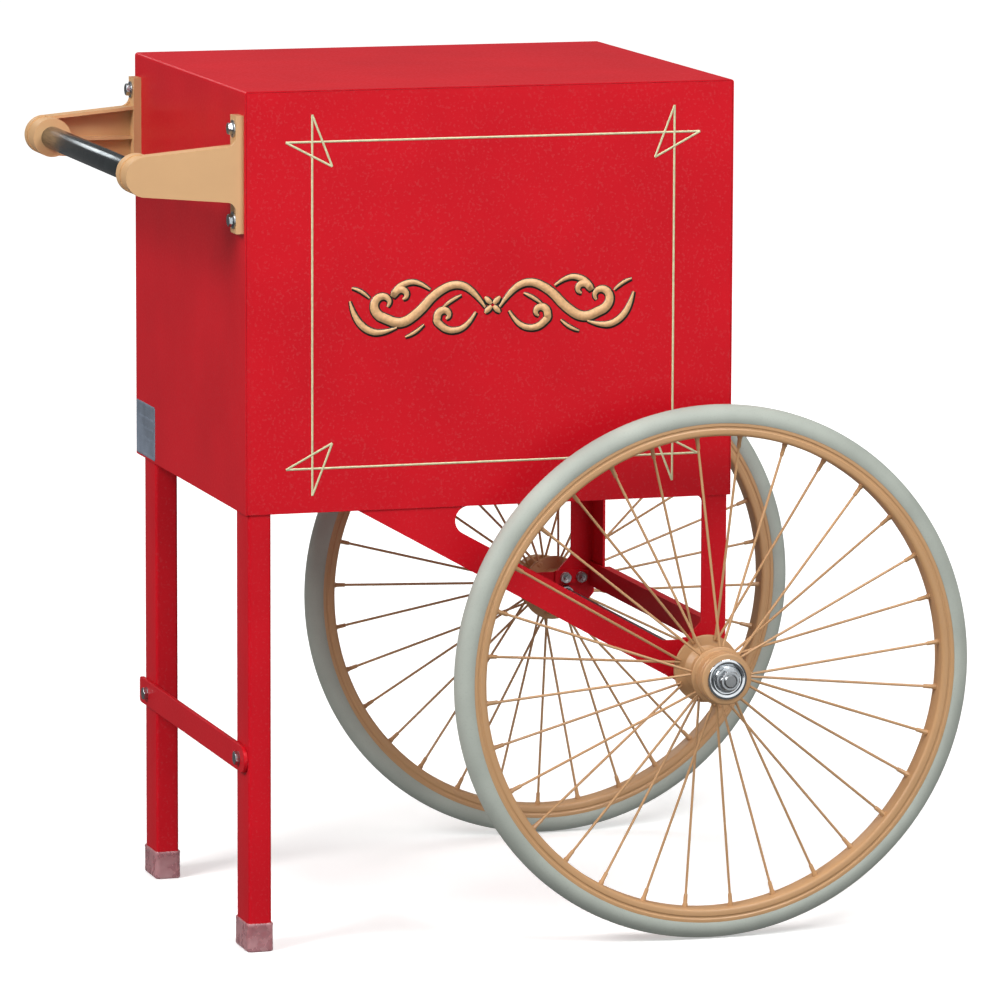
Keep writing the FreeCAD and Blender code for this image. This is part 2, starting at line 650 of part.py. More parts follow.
def axle_bracket():
    """Plate under the cabinet's side with a triangular opening and folded edges."""
    body = new_body("near_bracket")
    right = "(cab_right - strut_inset)"
    hole_right = "(cab_right - strut_inset - strut_width)"
    tip_x = "axle_x - boss_radius * sin(29.35)"
    tip_z = "axle_z - boss_radius * cos(29.35)"
    arm_end = "axle_x + boss_radius * sin(45)"
    outer = [
        ("bracket_left", "cab_bottom"),
        ("axle_x - 2", f"cab_bottom - (axle_x - 2 - bracket_left) * {ARM_SLOPE}"),
        ("axle_x + 5", "axle_z - boss_radius"),
        (arm_end, "axle_z - boss_radius * cos(45)"),
        (right, "axle_z"), (right, "cab_bottom - seam"),
        (TAB_RIGHT + " - 1", "cab_bottom - seam"), (TAB_RIGHT + " - 1", "cab_bottom + floor_lip"),
        ("bracket_left", "cab_bottom + floor_lip"),
    ]
    floor_x = "cab_right - 65"
    floor_z = "axle_z + 22"
    reach = f"(cab_bottom - ({floor_z})) / {ARM_SLOPE}"
    hole = [
        (f"{floor_x} - {reach}", "cab_bottom"), (hole_right, "cab_bottom"),
        (hole_right, "axle_z + 38"), ("cab_right - 43", floor_z), (floor_x, floor_z),
    ]
    sketch = outline(body, "XZ_Plane", "near_plate", [outer, hole])
    plate = pad(body, sketch, "plate", away=True)
    first_hole = len(outer)
    rounded = round_corners(body, plate, sketch, [first_hole], "hole_round")
    rounded = round_corners(body, rounded, sketch, [first_hole + 1, first_hole + 2], "6")
    rounded = round_corners(body, rounded, sketch, [1, 2, 3], "12")
    thick = "(plate / cos(29.35))"
    start_x = f"({floor_x} - {reach} + 44)"
    start_z = f"(cab_bottom - 44 * {ARM_SLOPE})"
    arm_flange = [
        (start_x, start_z), (floor_x, floor_z),
        (floor_x, f"{floor_z} - {thick}"), (start_x, f"{start_z} - {thick}"),
    ]
    pad(body, outline(body, "XZ_Plane", "near_arm_flange", [arm_flange]), "flange_deep", away=True)
    rear_flange = [
        (right + " - plate", "axle_z + 6"), (right, "axle_z + 6"),
        (right, "cab_bottom - seam"), (right + " - plate", "cab_bottom - seam"),
    ]
    pad(body, outline(body, "XZ_Plane", "near_rear_flange", [rear_flange]), "strut_deep", away=True)
    place(body, ("0", f"-{BRACKET_FACE}", "0"))
    at = ("axle_x", f"-{BRACKET_FACE}", "axle_z")
    holes = [rod("near_axle_hole", at, Y_AXIS, "axle_radius + 0.1", "plate")]
    for index, x in enumerate(BEAM_BOLT_X):
        at = (x, f"-{BRACKET_FACE}", BEAM_BOLT_Z)
        holes.append(rod(f"near_beam_hole_{index}", at, Y_AXIS, "bolt_hole", "plate"))
    for index, (at, direction, _) in enumerate(floor_bolt_points()):
        if direction.y > 0.5:
            low = (at[0], f"-{BRACKET_FACE}", at[2])
            holes.append(rod(f"near_floor_hole_{index}", low, Y_AXIS, "bolt_hole", "plate"))
    near = cut("near_bracket_drilled", body, group("near_bracket_holes", holes))
    node("near_axle_bracket", near)
    node("far_axle_bracket", mirrored("far_bracket", near))


def bracket_bolts():
    """Short hex bolts inside the floor pan that hold the legs and the brackets."""
    legs = []
    brackets = []
    for index, (at, direction, shank) in enumerate(floor_bolt_points()):
        made = bolt(f"floor_bolt_{index}", at, direction, "bolt_head", "bolt_head_high", "bolt_shank", shank)
        if abs(direction.x) > 0.5:
            legs.append(made)
        else:
            brackets.append(made)
    node("leg_bolts", group("leg_bolt_set", legs))
    node("bracket_bolts", group("bracket_bolt_set", brackets))


def axle_beam():
    """Channel between the brackets, above the axle, with a bolted tab at each end."""
    face = f"{BRACKET_FACE} - plate"
    long = f"2 * ({face})"
    web = box("beam_web", ("beam_x", f"-({face})", "beam_low"), ("plate", long, "beam_high - beam_low"))
    flanges = []
    for name, low in (("top", "beam_high - plate"), ("bottom", "beam_low")):
        shorter = f"{face} - strut_deep - 2"
        spans = ("beam_wide", f"2 * ({shorter})", "plate")
        flanges.append(box(f"beam_{name}", ("beam_x", f"-({shorter})", low), spans))
    tabs = []
    for name, low in (("near", f"-({face})"), ("far", f"{face} - plate")):
        spans = ("beam_tab_wide", "plate", "beam_tab_tall")
        tabs.append(box(f"beam_tab_{name}", ("beam_x + plate - beam_tab_wide", low, "beam_low + 2.5"), spans))
    holes = []
    bolts = []
    nuts = []
    for side in (-1, 1):
        for index, x in enumerate(BEAM_BOLT_X):
            name = f"beam_bolt_{side + 1}_{index}"
            inner = (x, f"{side} * ({face} - plate)", BEAM_BOLT_Z)
            holes.append(rod(name + "_hole", inner, Y_AXIS * side, "bolt_hole", "plate"))
            bolts.append(bolt(name, inner, Y_AXIS * -side, "bolt_head", "bolt_head_high", "bolt_shank",
                              "2 * plate + nut_high + 2"))
            outer = (x, f"{side} * {BRACKET_FACE}", BEAM_BOLT_Z)
            nuts.append(nut(name + "_nut", outer, Y_AXIS * side, "bolt_head", "bolt_shank", "nut_high"))
    blank = fuse("beam_blank", [web] + flanges + tabs)
    node("axle_beam", cut("beam_drilled", blank, group("beam_holes", holes)))
    node("axle_beam_bolts", group("beam_bolts", bolts))
    node("axle_beam_nuts", group("beam_nuts", nuts))


HUB_INNER_END = "half_track - hub_back"
HUB_OUTER_END = "half_track + hub_half"


def axle():
    """Fixed axle rod with its inner nuts, spacers, washers and end nuts."""
    node("axle_rod", rod("axle", ("axle_x", "-axle_half", "axle_z"), Y_AXIS, "axle_radius", "2 * axle_half"))
    inner_nuts = []
    spacers = []
    washers = []
    end_nuts = []
    for name, side in (("near", -1), ("far", 1)):
        out = Y_AXIS * side
        inside = ("axle_x", f"{side} * ({BRACKET_FACE} - plate)", "axle_z")
        inner_nuts.append(nut(f"{name}_inner_nut", inside, -out, "9.2", "axle_radius", "7"))
        outside = ("axle_x", f"{side} * {BRACKET_FACE}", "axle_z")
        length = f"{HUB_INNER_END} - 1.8 - end_clear - {BRACKET_FACE}"
        spacers.append(ring(f"{name}_spacer", outside, out, "10", "axle_radius", length))
        hub_end = ("axle_x", f"{side} * ({HUB_OUTER_END} + 2 + end_clear)", "axle_z")
        washers.append(ring(f"{name}_washer", hub_end, out, "11.5", "axle_radius", "1.5"))
        nut_start = ("axle_x", f"{side} * ({HUB_OUTER_END} + 3.5 + end_clear)", "axle_z")
        end_nuts.append(nut(f"{name}_end_nut", nut_start, out, "9.9", "axle_radius", "6.5"))
    node("axle_inner_nuts", group("inner_nuts", inner_nuts))
    node("axle_spacers", group("spacers", spacers))
    node("axle_washers", group("washers", washers))
    node("axle_end_nuts", group("end_nuts", end_nuts))


# ---------------------------------------------------------------- wheels
def wheel_place(item):
    place(item, ("axle_x", "-half_track", "axle_z"))


def tyre():
    """Solid rubber tyre: a round section whose foot is narrowed to sit between the rim's lips."""
    torus = doc.addObject("Part::Torus", "tyre_ring")
    bind(torus, "Radius1", "tyre_radius - tyre_section")
    bind(torus, "Radius2", "tyre_section")
    place(torus, ("axle_x", "-half_track", "axle_z"), turn(Y_AXIS))
    cheeks = []
    for name, low in (("outer", "-half_track - rim_half - 6"), ("inner", "-half_track + rim_half - 1.6")):
        at = ("axle_x", low, "axle_z")
        cheeks.append(ring(f"tyre_cheek_{name}", at, Y_AXIS, "rim_outer", "rim_inner - 20", "7.6"))
    foot = rod("tyre_foot", ("axle_x", "-half_track - 20", "axle_z"), Y_AXIS, "rim_inner + 4.6", "40")
    near = cut("near_tyre_shape", torus, fuse("tyre_waste", cheeks + [foot]))
    return "tyre", near


def rim():
    """Rolled steel channel rim."""
    half = "rim_half"
    profile = [
        ("rim_inner", f"-{half} + 2.5"), ("rim_inner", f"{half} - 2.5"),
        ("rim_inner + 2.5", half), ("rim_outer", half), ("rim_outer", f"{half} - 1.6"),
        ("rim_inner + 4", f"{half} - 1.6"), ("rim_inner + 2", f"{half} - 4"),
        ("rim_inner + 2", f"-{half} + 4"), ("rim_inner + 4", f"-{half} + 1.6"),
        ("rim_outer", f"-{half} + 1.6"), ("rim_outer", f"-{half}"), ("rim_inner + 2.5", f"-{half}"),
    ]
    near = revolved("near_rim_body", profile)
    wheel_place(near)
    return "rim", near


def hub():
    """Turned hub: wide outer shell, slim barrel and inner flange, bored for its bushes."""
    profile = [
        ("8", "-hub_half + 12"), ("bush_radius", "-hub_half + 12"), ("bush_radius", "-hub_half"),
        ("hub_radius - 2", "-hub_half"), ("hub_radius", "-hub_half + 2"), ("hub_radius", "-flange_out - 1.5"),
        ("outer_flange", "-flange_out - 1.5"), ("outer_flange", "-flange_out + 1.5"),
        ("hub_radius - 3", "-flange_out + 2.5"), ("17", "-flange_out + 8"), ("17", "flange_in - 6"),
        ("22", "flange_in - 1.5"), ("inner_flange", "flange_in - 1.5"), ("inner_flange", "flange_in + 1.5"),
        ("20", "flange_in + 1.5"), ("20", "hub_back"), ("bush_radius", "hub_back"),
        ("bush_radius", "hub_back - 12"), ("8", "hub_back - 12"),
    ]
    near = revolved("near_hub_body", profile)
    wheel_place(near)
    return "hub", near


def bushes():
    """Two flanged bushes pressed into the hub's ends."""
    bore = "axle_radius + run_clear"
    outer = revolved("near_outer_bush", [
        (bore, "-hub_half + 10"), (bore, "-hub_half - 2"), ("cap_radius - 5", "-hub_half - 2"),
        ("cap_radius - 4", "-hub_half - 1.2"), ("cap_radius - 2", "-hub_half - 2"),
        ("cap_radius", "-hub_half - 1.2"), ("cap_radius", "-hub_half"), ("bush_radius", "-hub_half"),
        ("bush_radius", "-hub_half + 10"),
    ])
    wheel_place(outer)
    inner = revolved("near_inner_bush", [
        (bore, "hub_back - 10"), ("bush_radius", "hub_back - 10"), ("bush_radius", "hub_back"),
        ("18", "hub_back"), ("18", "hub_back + 1.8"), (bore, "hub_back + 1.8"),
    ])
    wheel_place(inner)
    return "hub_bushes", group("near_bushes", [outer, inner])


def polar(radius, degrees, across):
    """A point at a radius and an angle about the wheel's axis."""
    angle = math.radians(degrees)
    return FreeCAD.Vector(radius * math.cos(angle), across, radius * math.sin(angle))


def spoke_lines():
    """Hub end and rim end of every spoke, in the wheel's own frame.

    Even spokes go to the outer flange and odd ones to the inner flange. On each flange the spokes
    lean together in pairs, so that two of them meet at one place on the hub.
    """
    count = int(size("spoke_count"))
    step = 360 / count
    lead = size("spoke_lead")
    lines = []
    for index in range(count):
        at_rim = size("spoke_phase") + index * step
        sign = -1 if index % 4 in (0, 3) else 1
        if index % 2 == 0:
            start = polar(size("outer_flange"), at_rim + sign * lead, -size("flange_out"))
            end = polar(size("rim_inner"), at_rim, -2)
        else:
            start = polar(size("inner_flange"), at_rim + sign * lead, size("flange_in"))
            end = polar(size("rim_inner"), at_rim, 2)
        lines.append((start, end))
    return lines


def spokes():
    """Straight spokes from the hub's flanges to the nipples at the rim."""
    wires = []
    nipples = []
    for start, end in spoke_lines():
        along = (end - start).normalize()
        inner_end = end - along * size("nipple_long")
        wires.append(Part.makeCylinder(size("spoke_radius"), (inner_end - start).Length, start, along))
        nipples.append(Part.makeCylinder(size("nipple_radius"), size("nipple_long"), inner_end, along))
    near_spokes = doc.addObject("Part::Feature", "near_spoke_set")
    near_spokes.Shape = Part.makeCompound(wires)
    wheel_place(near_spokes)
    near_nipples = doc.addObject("Part::Feature", "near_nipple_set")
    near_nipples.Shape = Part.makeCompound(nipples)
    wheel_place(near_nipples)
    return [("spokes", near_spokes), ("spoke_nipples", near_nipples)]


def wheels():
    """Both wheels: each near piece is mirrored for the far side."""
    for name, near in [tyre(), rim(), hub(), bushes()] + spokes():
        node("near_" + name, near)
        node("far_" + name, mirrored("far_" + name + "_mirror", near))


# ---------------------------------------------------------------- legs, feet and brace
LEG_X = "cab_left + leg_inset"
LEG_Y = {"near": "-half_depth + gauge + 0.1", "far": "half_depth - far_leg_inset - leg_deep"}


def legs():
    """Rectangular tube legs in vinyl foot caps, which run up behind the cabinet's end."""
    for side, y in LEG_Y.items():
        tall = "leg_top - cap_floor"
        outer = box(f"{side}_leg_outer", (LEG_X, y, "cap_floor"), ("leg_wide", "leg_deep", tall))
        bore = box(f"{side}_leg_bore", (f"{LEG_X} + leg_wall", f"{y} + leg_wall", "cap_floor"),
                   ("leg_wide - 2 * leg_wall", "leg_deep - 2 * leg_wall", tall))
        tube = cut(f"{side}_leg_tube", outer, bore)
        holes = []
        for index, z in enumerate(("cab_bottom + 22", "cab_bottom + 52")):
            bolt_y = "-half_depth + gauge + leg_deep / 2" if side == "near" else f"{y} + leg_deep / 2"
            at = (FLOOR_LEFT, bolt_y, z)
            holes.append(rod(f"{side}_leg_hole_{index}", at, -X_AXIS, "bolt_hole", "leg_wall"))
        at = (LEG_X, f"{y} + leg_deep / 2", "brace_z")
        holes.append(rod(f"{side}_leg_brace_hole", at, X_AXIS, "4.2", "leg_wall"))
        node(f"{side}_leg", cut(f"{side}_leg_drilled", tube, group(f"{side}_leg_holes", holes)))
        cap = box(f"{side}_cap_outer", (f"{LEG_X} - cap_wall", f"{y} - cap_wall", "0"),
                  ("leg_wide + 2 * cap_wall", "leg_deep + 2 * cap_wall", "cap_high"))
        pocket = box(f"{side}_cap_pocket", (LEG_X, y, "cap_floor"), ("leg_wide", "leg_deep", "cap_high"))
        node(f"{side}_foot_cap", cut(f"{side}_cap", cap, pocket))


def leg_brace():
    """Flat bar with rounded ends bolted across the legs' outer faces."""
    body = new_body("brace")
    low = "-half_depth + 3"
    high = "half_depth - far_leg_inset + 7"
    bottom = "brace_z - brace_tall / 2"
    top = "brace_z + brace_tall / 2"
    corners = [(low, bottom), (high, bottom), (high, top), (low, top)]
    sketch = outline(body, "YZ_Plane", "brace_outline", [corners])
    bar = pad(body, sketch, "brace_thick")
    near_end = round_corners(body, bar, sketch, [0, 3], "brace_tall / 2 - 0.1")
    round_corners(body, near_end, sketch, [1, 2], "4")
    place(body, (f"{LEG_X} - brace_thick", "0", "0"))
    holes = []
    bolts = []
    for side, y in LEG_Y.items():
        at = (f"{LEG_X} - brace_thick", f"{y} + leg_deep / 2", "brace_z")
        holes.append(rod(f"{side}_brace_hole", at, X_AXIS, "4.2", "brace_thick"))
        bolts.append(bolt(f"{side}_brace_bolt", at, -X_AXIS, "6.5", "4.5", "4", "brace_thick + leg_wall + 8"))
    node("leg_brace", cut("brace_drilled", body, group("brace_holes", holes)))
    node("brace_bolts", group("brace_bolt_pair", bolts))


# ---------------------------------------------------------------- push handle
MOUNT_BOLT_RISE = "42"


def handle_bracket():
    """Moulded bracket: base plate, tapering arm with inner ribs, and a round end for the bar."""
    body = new_body("near_grip_bracket")
    root = "cab_left"
    plate_x = "cab_left - mount_thick"
    arm = [
        (plate_x, "bar_z - arm_root"), (plate_x, "bar_z - mount_tall / 2 - 0.5"),
        (root, "bar_z - mount_tall / 2 - 0.5"), (root, "bar_z + mount_tall / 2 - 0.5"),
        (plate_x, "bar_z + mount_tall / 2 - 0.5"), (plate_x, "bar_z + arm_root"),
        ("bar_x", "bar_z + cup_radius"), ("bar_x", "bar_z - cup_radius"),
    ]
    sketch = outline(body, "XZ_Plane", "grip_web", [arm])
    web = pad(body, sketch, "web", away=True)
    round_corners(body, web, sketch, [0, 5], "9")
    base = [
        (plate_x, "bar_z - mount_tall / 2 - 0.5"), (root, "bar_z - mount_tall / 2 - 0.5"),
        (root, "bar_z + mount_tall / 2 - 0.5"), (plate_x, "bar_z + mount_tall / 2 - 0.5"),
    ]
    pad(body, outline(body, "XZ_Plane", "grip_base", [base]), "mount_wide", away=True)
    for name, sign in (("upper", "1"), ("lower", "-1")):
        strip = [
            (plate_x, f"bar_z + {sign} * arm_root"),
            ("bar_x", f"bar_z + {sign} * cup_radius"),
            ("bar_x", f"bar_z + {sign} * (cup_radius - rib)"),
            (plate_x, f"bar_z + {sign} * (arm_root - rib)"),
        ]
        sketch = outline(body, "XZ_Plane", f"grip_{name}_rib", [strip])
        pad(body, sketch, "mount_wide - 1", away=True)
    middle = [
        ("bar_x + cup_radius - 2", "bar_z - 6"), (plate_x, "bar_z - 6"),
        (plate_x, "bar_z - 6 + rib"), ("bar_x + cup_radius - 2", "bar_z - 6 + rib"),
    ]
    pad(body, outline(body, "XZ_Plane", "grip_middle_rib", [middle]), "mount_wide - 7", away=True)
    place(body, ("0", "-grip_y", "0"))
    cup = rod("grip_cup", ("bar_x", "-grip_y", "bar_z"), Y_AXIS, "cup_radius - cup_step", "cup_deep")
    disc = rod("grip_disc", ("bar_x", "-grip_y", "bar_z"), Y_AXIS, "cup_radius", "cup_disc")
    collar = rod("grip_collar", ("bar_x", "-grip_y + cup_deep - cup_collar", "bar_z"), Y_AXIS, "cup_radius",
                 "cup_collar")
    whole = fuse("grip_whole", [body, cup, disc, collar])
    socket = rod("grip_socket", ("bar_x", "-grip_y + web", "bar_z"), Y_AXIS, "bar_radius", "cup_deep")
    hollows = [socket]
    for index, sign in enumerate((-1, 1)):
        at = (plate_x, "-grip_y + 9", f"bar_z - 0.5 + {sign} * {MOUNT_BOLT_RISE}")
        hollows.append(rod(f"grip_bolt_hole_{index}", at, X_AXIS, "3.4", "mount_thick"))
    near = cut("near_grip_done", whole, group("grip_hollows", hollows))
    node("near_handle_bracket", near)
    node("far_handle_bracket", mirrored("far_grip", near))


def handle_bar():
    """Round tube held between the brackets' round ends."""
    low = ("bar_x", "-grip_y + web", "bar_z")
    length = "2 * (grip_y - web)"
    node("handle_bar", ring("bar", low, Y_AXIS, "bar_radius", "bar_radius - bar_wall", length))


def handle_bolts():
    """Bolts, washers and nuts that hold the handle brackets on the cabinet's end."""
    bolts = []
    washers = []
    nuts = []
    shell_holes = []
    for side in (-1, 1):
        for rise in (-1, 1):
            name = f"grip_bolt_{side + 1}_{rise + 1}"
            y = f"{side} * (grip_y - 9)"
            z = f"bar_z - 0.5 + {rise} * {MOUNT_BOLT_RISE}"
            face = ("cab_left - mount_thick", y, z)
            washers.append(ring(name + "_washer", face, -X_AXIS, "8", "bolt_shank", "1.4"))
            head = ("cab_left - mount_thick - 1.4", y, z)
            grip = "mount_thick + 1.4 + 2 * gauge + 8"
            bolts.append(bolt(name, head, -X_AXIS, "6", "4.2", "bolt_shank", grip))
            inside = ("cab_left + 2 * gauge + seam", y, z)
            nuts.append(nut(name + "_nut", inside, X_AXIS, "bolt_head", "bolt_shank", "nut_high"))
            shell_holes.append(rod(name + "_hole", ("cab_left", y, z), X_AXIS, "bolt_hole", "3"))
    node("handle_bolts", group("grip_bolts", bolts))
    node("handle_washers", group("grip_washers", washers))
    node("handle_nuts", group("grip_nuts", nuts))
    return shell_holes


def drill_cabinet(labels, tools):
    """Replace cabinet sheets by copies drilled for the handle's bolts."""
    for index, item in enumerate(nodes):
        if item.Label in labels:
            label = item.Label
            item.Label = label + "_undrilled"
            copies = group(f"{label}_handle_holes", tools)
            drilled = cut(f"{label}_final", item, copies)
            drilled.Label = label
            nodes[index] = drilled


# ---------------------------------------------------------------- make, check and write
cabinet_shell()
front_panel()
floor_pan()
rear_frame()
data_plate()
door_panel()
hinges()
hinge_rivets()
door_pull()
magnetic_catch()
axle_bracket()
bracket_bolts()
axle_beam()
axle()
wheels()
legs()
leg_brace()
handle_bracket()
handle_bar()
drill_cabinet(("cabinet_shell", "front_panel", "rear_left_stile"), handle_bolts())
doc.recompute()

for item in doc.Objects:
    if "Invalid" in item.State or "Error" in item.State:
        raise RuntimeError(f"{item.Label} failed: {item.State}")
os.makedirs("parts", exist_ok=True)
for item in nodes:
    if item.Shape.isNull() or not item.Shape.isValid():
        raise RuntimeError(f"{item.Label} has no valid shape")
    item.Shape.exportStep(f"parts/{item.Label}.step")
print(f"{len(nodes)} nodes written")
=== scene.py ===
"""Popcorn cart: finished wheels, edges, fasteners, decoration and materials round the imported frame.

Metres, +Z up. -Y is the decorated side, +Y the door side, -X the handle end and +X the wheel end.
"""
import json
import math

import bmesh
import bpy
from bpy.props import FloatProperty, FloatVectorProperty, IntProperty, PointerProperty
from mathutils import Matrix, Quaternion, Vector


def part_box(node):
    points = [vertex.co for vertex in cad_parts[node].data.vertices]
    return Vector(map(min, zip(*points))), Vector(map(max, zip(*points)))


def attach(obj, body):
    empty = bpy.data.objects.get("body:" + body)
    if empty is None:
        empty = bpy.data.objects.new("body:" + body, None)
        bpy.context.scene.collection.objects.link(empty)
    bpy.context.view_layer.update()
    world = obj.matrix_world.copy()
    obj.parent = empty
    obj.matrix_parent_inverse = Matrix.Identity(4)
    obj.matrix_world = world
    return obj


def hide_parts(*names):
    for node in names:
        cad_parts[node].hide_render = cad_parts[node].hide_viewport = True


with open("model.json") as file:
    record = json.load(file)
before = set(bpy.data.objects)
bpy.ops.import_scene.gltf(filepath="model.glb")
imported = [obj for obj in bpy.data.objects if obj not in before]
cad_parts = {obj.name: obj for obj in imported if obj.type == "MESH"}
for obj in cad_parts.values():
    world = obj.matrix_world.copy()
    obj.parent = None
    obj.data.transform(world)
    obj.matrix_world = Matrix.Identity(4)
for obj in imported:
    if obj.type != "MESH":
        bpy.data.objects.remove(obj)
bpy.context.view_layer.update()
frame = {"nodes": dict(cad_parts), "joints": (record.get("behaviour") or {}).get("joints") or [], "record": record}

bl_info = {
    "name": "Popcorn cart",
    "version": (1, 0, 0),
    "blender": (4, 5, 0),
    "location": "View3D > Sidebar > Popcorn cart",
    "description": "Builds the finished surfaces of a two-wheeled popcorn cart round its frame",
    "category": "Object",
}

MM = 0.001
NODES = frame["nodes"]
JOINT_AT = {joint["name"]: Vector(joint["pos_m"]) for joint in frame["joints"]}
SIDES = {"near": -1, "far": 1}
QUADRANTS = ((-1, -1), (1, -1), (1, 1), (-1, 1))
MATERIALS = {}

WALL = 1.6 * MM  # thickness of the leg tubes, of the bar and of the rims
WELD = 0.002 * MM  # points of a CAD mesh that are closer than this are one point
SHARP = math.radians(32)  # a bend that shows as a sharp edge
ROUNDED = math.radians(28)  # a bend that gets a rounded edge
RIM_FACE = 223.3 * MM  # radius of a rim's inner face
OUTER_FLANGE = 27 * MM  # radius of a hub's flange at the nut's end
INNER_FLANGE = 32 * MM  # radius of a hub's flange at the cabinet's end
OUTER_PLANE = 17 * MM  # distance of the outer flange from the wheel's middle, outwards
INNER_PLANE = -20 * MM
HOLE_INSET = 4 * MM  # distance of the spoke holes from a flange's edge
NOISE_LOW = 0.3  # nearly all of a noise pattern lies between these two values
NOISE_HIGH = 0.7
TARGET = Vector((0.0879, 0.2135, 0.3463))  # the point that the camera looks at


# ---------------------------------------------------------------- colours and settings
def linear(code):
    """Turn an sRGB hex colour to a linear RGBA colour."""
    channels = [int(code[start:start + 2], 16) / 255 for start in (0, 2, 4)]
    return tuple(c / 12.92 if c <= 0.04045 else ((c + 0.055) / 1.055) ** 2.4 for c in channels) + (1.0,)


def colour_setting(name, code, meaning):
    return FloatVectorProperty(name=name, description=meaning, default=linear(code)[:3], size=3, min=0.0,
                               max=1.0, subtype="COLOR")


def length_setting(name, millimetres, meaning):
    return FloatProperty(name=name, description=meaning, default=millimetres * MM, unit="LENGTH", min=0.0)


class CartColours(bpy.types.PropertyGroup):
    red: colour_setting("Red", "C41220", "Powder coat of the cabinet, brackets and legs")
    tan: colour_setting("Tan", "BF9468", "Enamel of the rims, hubs and spokes")
    moulding: colour_setting("Moulding", "CBA071", "Moulded handle brackets")
    rubber: colour_setting("Rubber", "A9AFA6", "Solid rubber of the tyres")
    gold: colour_setting("Gold", "DDAE7C", "Painted scrollwork")
    stripe: colour_setting("Stripe", "D0CDA4", "Pinstripes")
    outline: colour_setting("Outline", "1D2A24", "Dark edge of the scrollwork")


class CartEdges(bpy.types.PropertyGroup):
    sheet: length_setting("Sheet edge", 0.35, "Rounding of the cabinet's sheet edges")
    plate: length_setting("Plate edge", 0.6, "Rounding of the bracket plates' edges")
    moulding: length_setting("Moulding edge", 1.1, "Rounding of the handle brackets' edges")
    small: length_setting("Small edge", 0.2, "Rounding of hinges, catch and screws")
    tube: length_setting("Tube corner", 3.0, "Outer corner radius of the leg tubes")


class CartWheels(bpy.types.PropertyGroup):
    spokes: IntProperty(name="Spokes", description="Spokes in one wheel, in groups of four", default=32,
                        min=8)
    phase: FloatProperty(name="First spoke", description="Angle of the first spoke's rim end above +X",
                         default=math.radians(4.75), subtype="ANGLE")
    lead: FloatProperty(name="Spoke lead", description="Angle between a spoke's hub end and its rim end",
                        default=math.radians(9.5), subtype="ANGLE")
    wire: length_setting("Spoke radius", 1.25, "Radius of the spoke wire")
    nipple: length_setting("Nipple radius", 2.1, "Radius of the spoke nipples")
    nipple_long: length_setting("Nipple length", 12, "Length of the spoke nipples inside the rim")


class CartDecoration(bpy.types.PropertyGroup):
    stripe: length_setting("Stripe width", 2.0, "Width of the pinstripes")
    inset_left: length_setting("Left inset", 63.5, "Distance of the left stripe from the cabinet's end")
    inset_right: length_setting("Right inset", 58.0, "Distance of the right stripe from the cabinet's end")
    inset_top: length_setting("Top inset", 47.5, "Distance of the upper stripe from the deck")
    inset_low: length_setting("Bottom inset", 41.0, "Distance of the lower stripe from the bottom edge")
    reach: length_setting("Star reach", 25.0, "How far the stripes run past their crossing")
    inner_x: length_setting("Star point across", 19.0, "Sideways distance of the star's inner point")
    inner_z: length_setting("Star point down", 23.0, "Upright distance of the star's inner point")
    centre_x: length_setting("Ornament from left stripe", 172.5, "Ornament's middle from the left stripe")
    centre_z: length_setting("Ornament from top stripe", 155.4, "Ornament's middle from the top stripe")


class CartStage(bpy.types.PropertyGroup):
    azimuth: FloatProperty(name="Azimuth", description="Direction of the camera's view, from +Y towards +X",
                           default=math.radians(17.18), subtype="ANGLE")
    elevation: FloatProperty(name="Elevation", description="How far the camera looks down",
                             default=math.radians(8.87), subtype="ANGLE")
    distance: FloatProperty(name="Distance", description="Camera distance from its target", default=7.0,
                            unit="LENGTH")
    lens: FloatProperty(name="Lens", description="Focal length in mm on a 36 mm sensor", default=254.7)
    roll: FloatProperty(name="Roll", description="How far the camera is turned about its own axis",
                        default=math.radians(0.216), subtype="ANGLE")
    key: FloatProperty(name="Key light", description="Power of the large light at the front, in watts",
                       default=76.0)
    fill: FloatProperty(name="Fill light", description="Power of the light at the handle end, in watts",
                        default=100.0)
    card: FloatProperty(name="Front card", description="Power of the soft card behind the camera, in watts",
                        default=55.0)
    back: FloatProperty(name="Back light", description="Power of the light on the door side, in watts",
                        default=38.0)
    strip: FloatProperty(name="Highlight", description="Power of the light that glints on the bar, in watts",
                         default=12.0)
    sky: FloatProperty(name="Sky", description="Strength of the surrounding light on surfaces", default=0.34)
    backdrop: FloatProperty(name="Backdrop", description="Brightness of the surroundings", default=1.0)
    mirror: FloatProperty(name="Mirrored sky", description="Brightness of the horizon in gloss", default=0.12)
    overhead: FloatProperty(name="Mirrored ceiling", description="Brightness overhead in gloss", default=0.55)


# ---------------------------------------------------------------- nodes of materials and of shapes
def add(tree, kind, inputs=None, **settings):
    """Add a node with its settings, and give each input its value or its link."""
    made = tree.nodes.new(kind)
    for name, value in settings.items():
        setattr(made, name, value)
    for key, value in (inputs or {}).items():
        if isinstance(value, bpy.types.NodeSocket):
            tree.links.new(value, made.inputs[key])
        else:
            made.inputs[key].default_value = value
    return made


def new_material(name):
    """Start a material: its tree, its surface shader and its object coordinates."""
    material = bpy.data.materials.new(name)
    material.use_nodes = True
    tree = material.node_tree
    tree.nodes.clear()
    shader = add(tree, "ShaderNodeBsdfPrincipled")
    add(tree, "ShaderNodeOutputMaterial", {"Surface": shader.outputs[0]})
    place = add(tree, "ShaderNodeTexCoord").outputs["Object"]
    return material, tree, shader, place


def shade(colour, factor):
    return tuple(min(1.0, c * factor) for c in colour[:3]) + (1.0,)


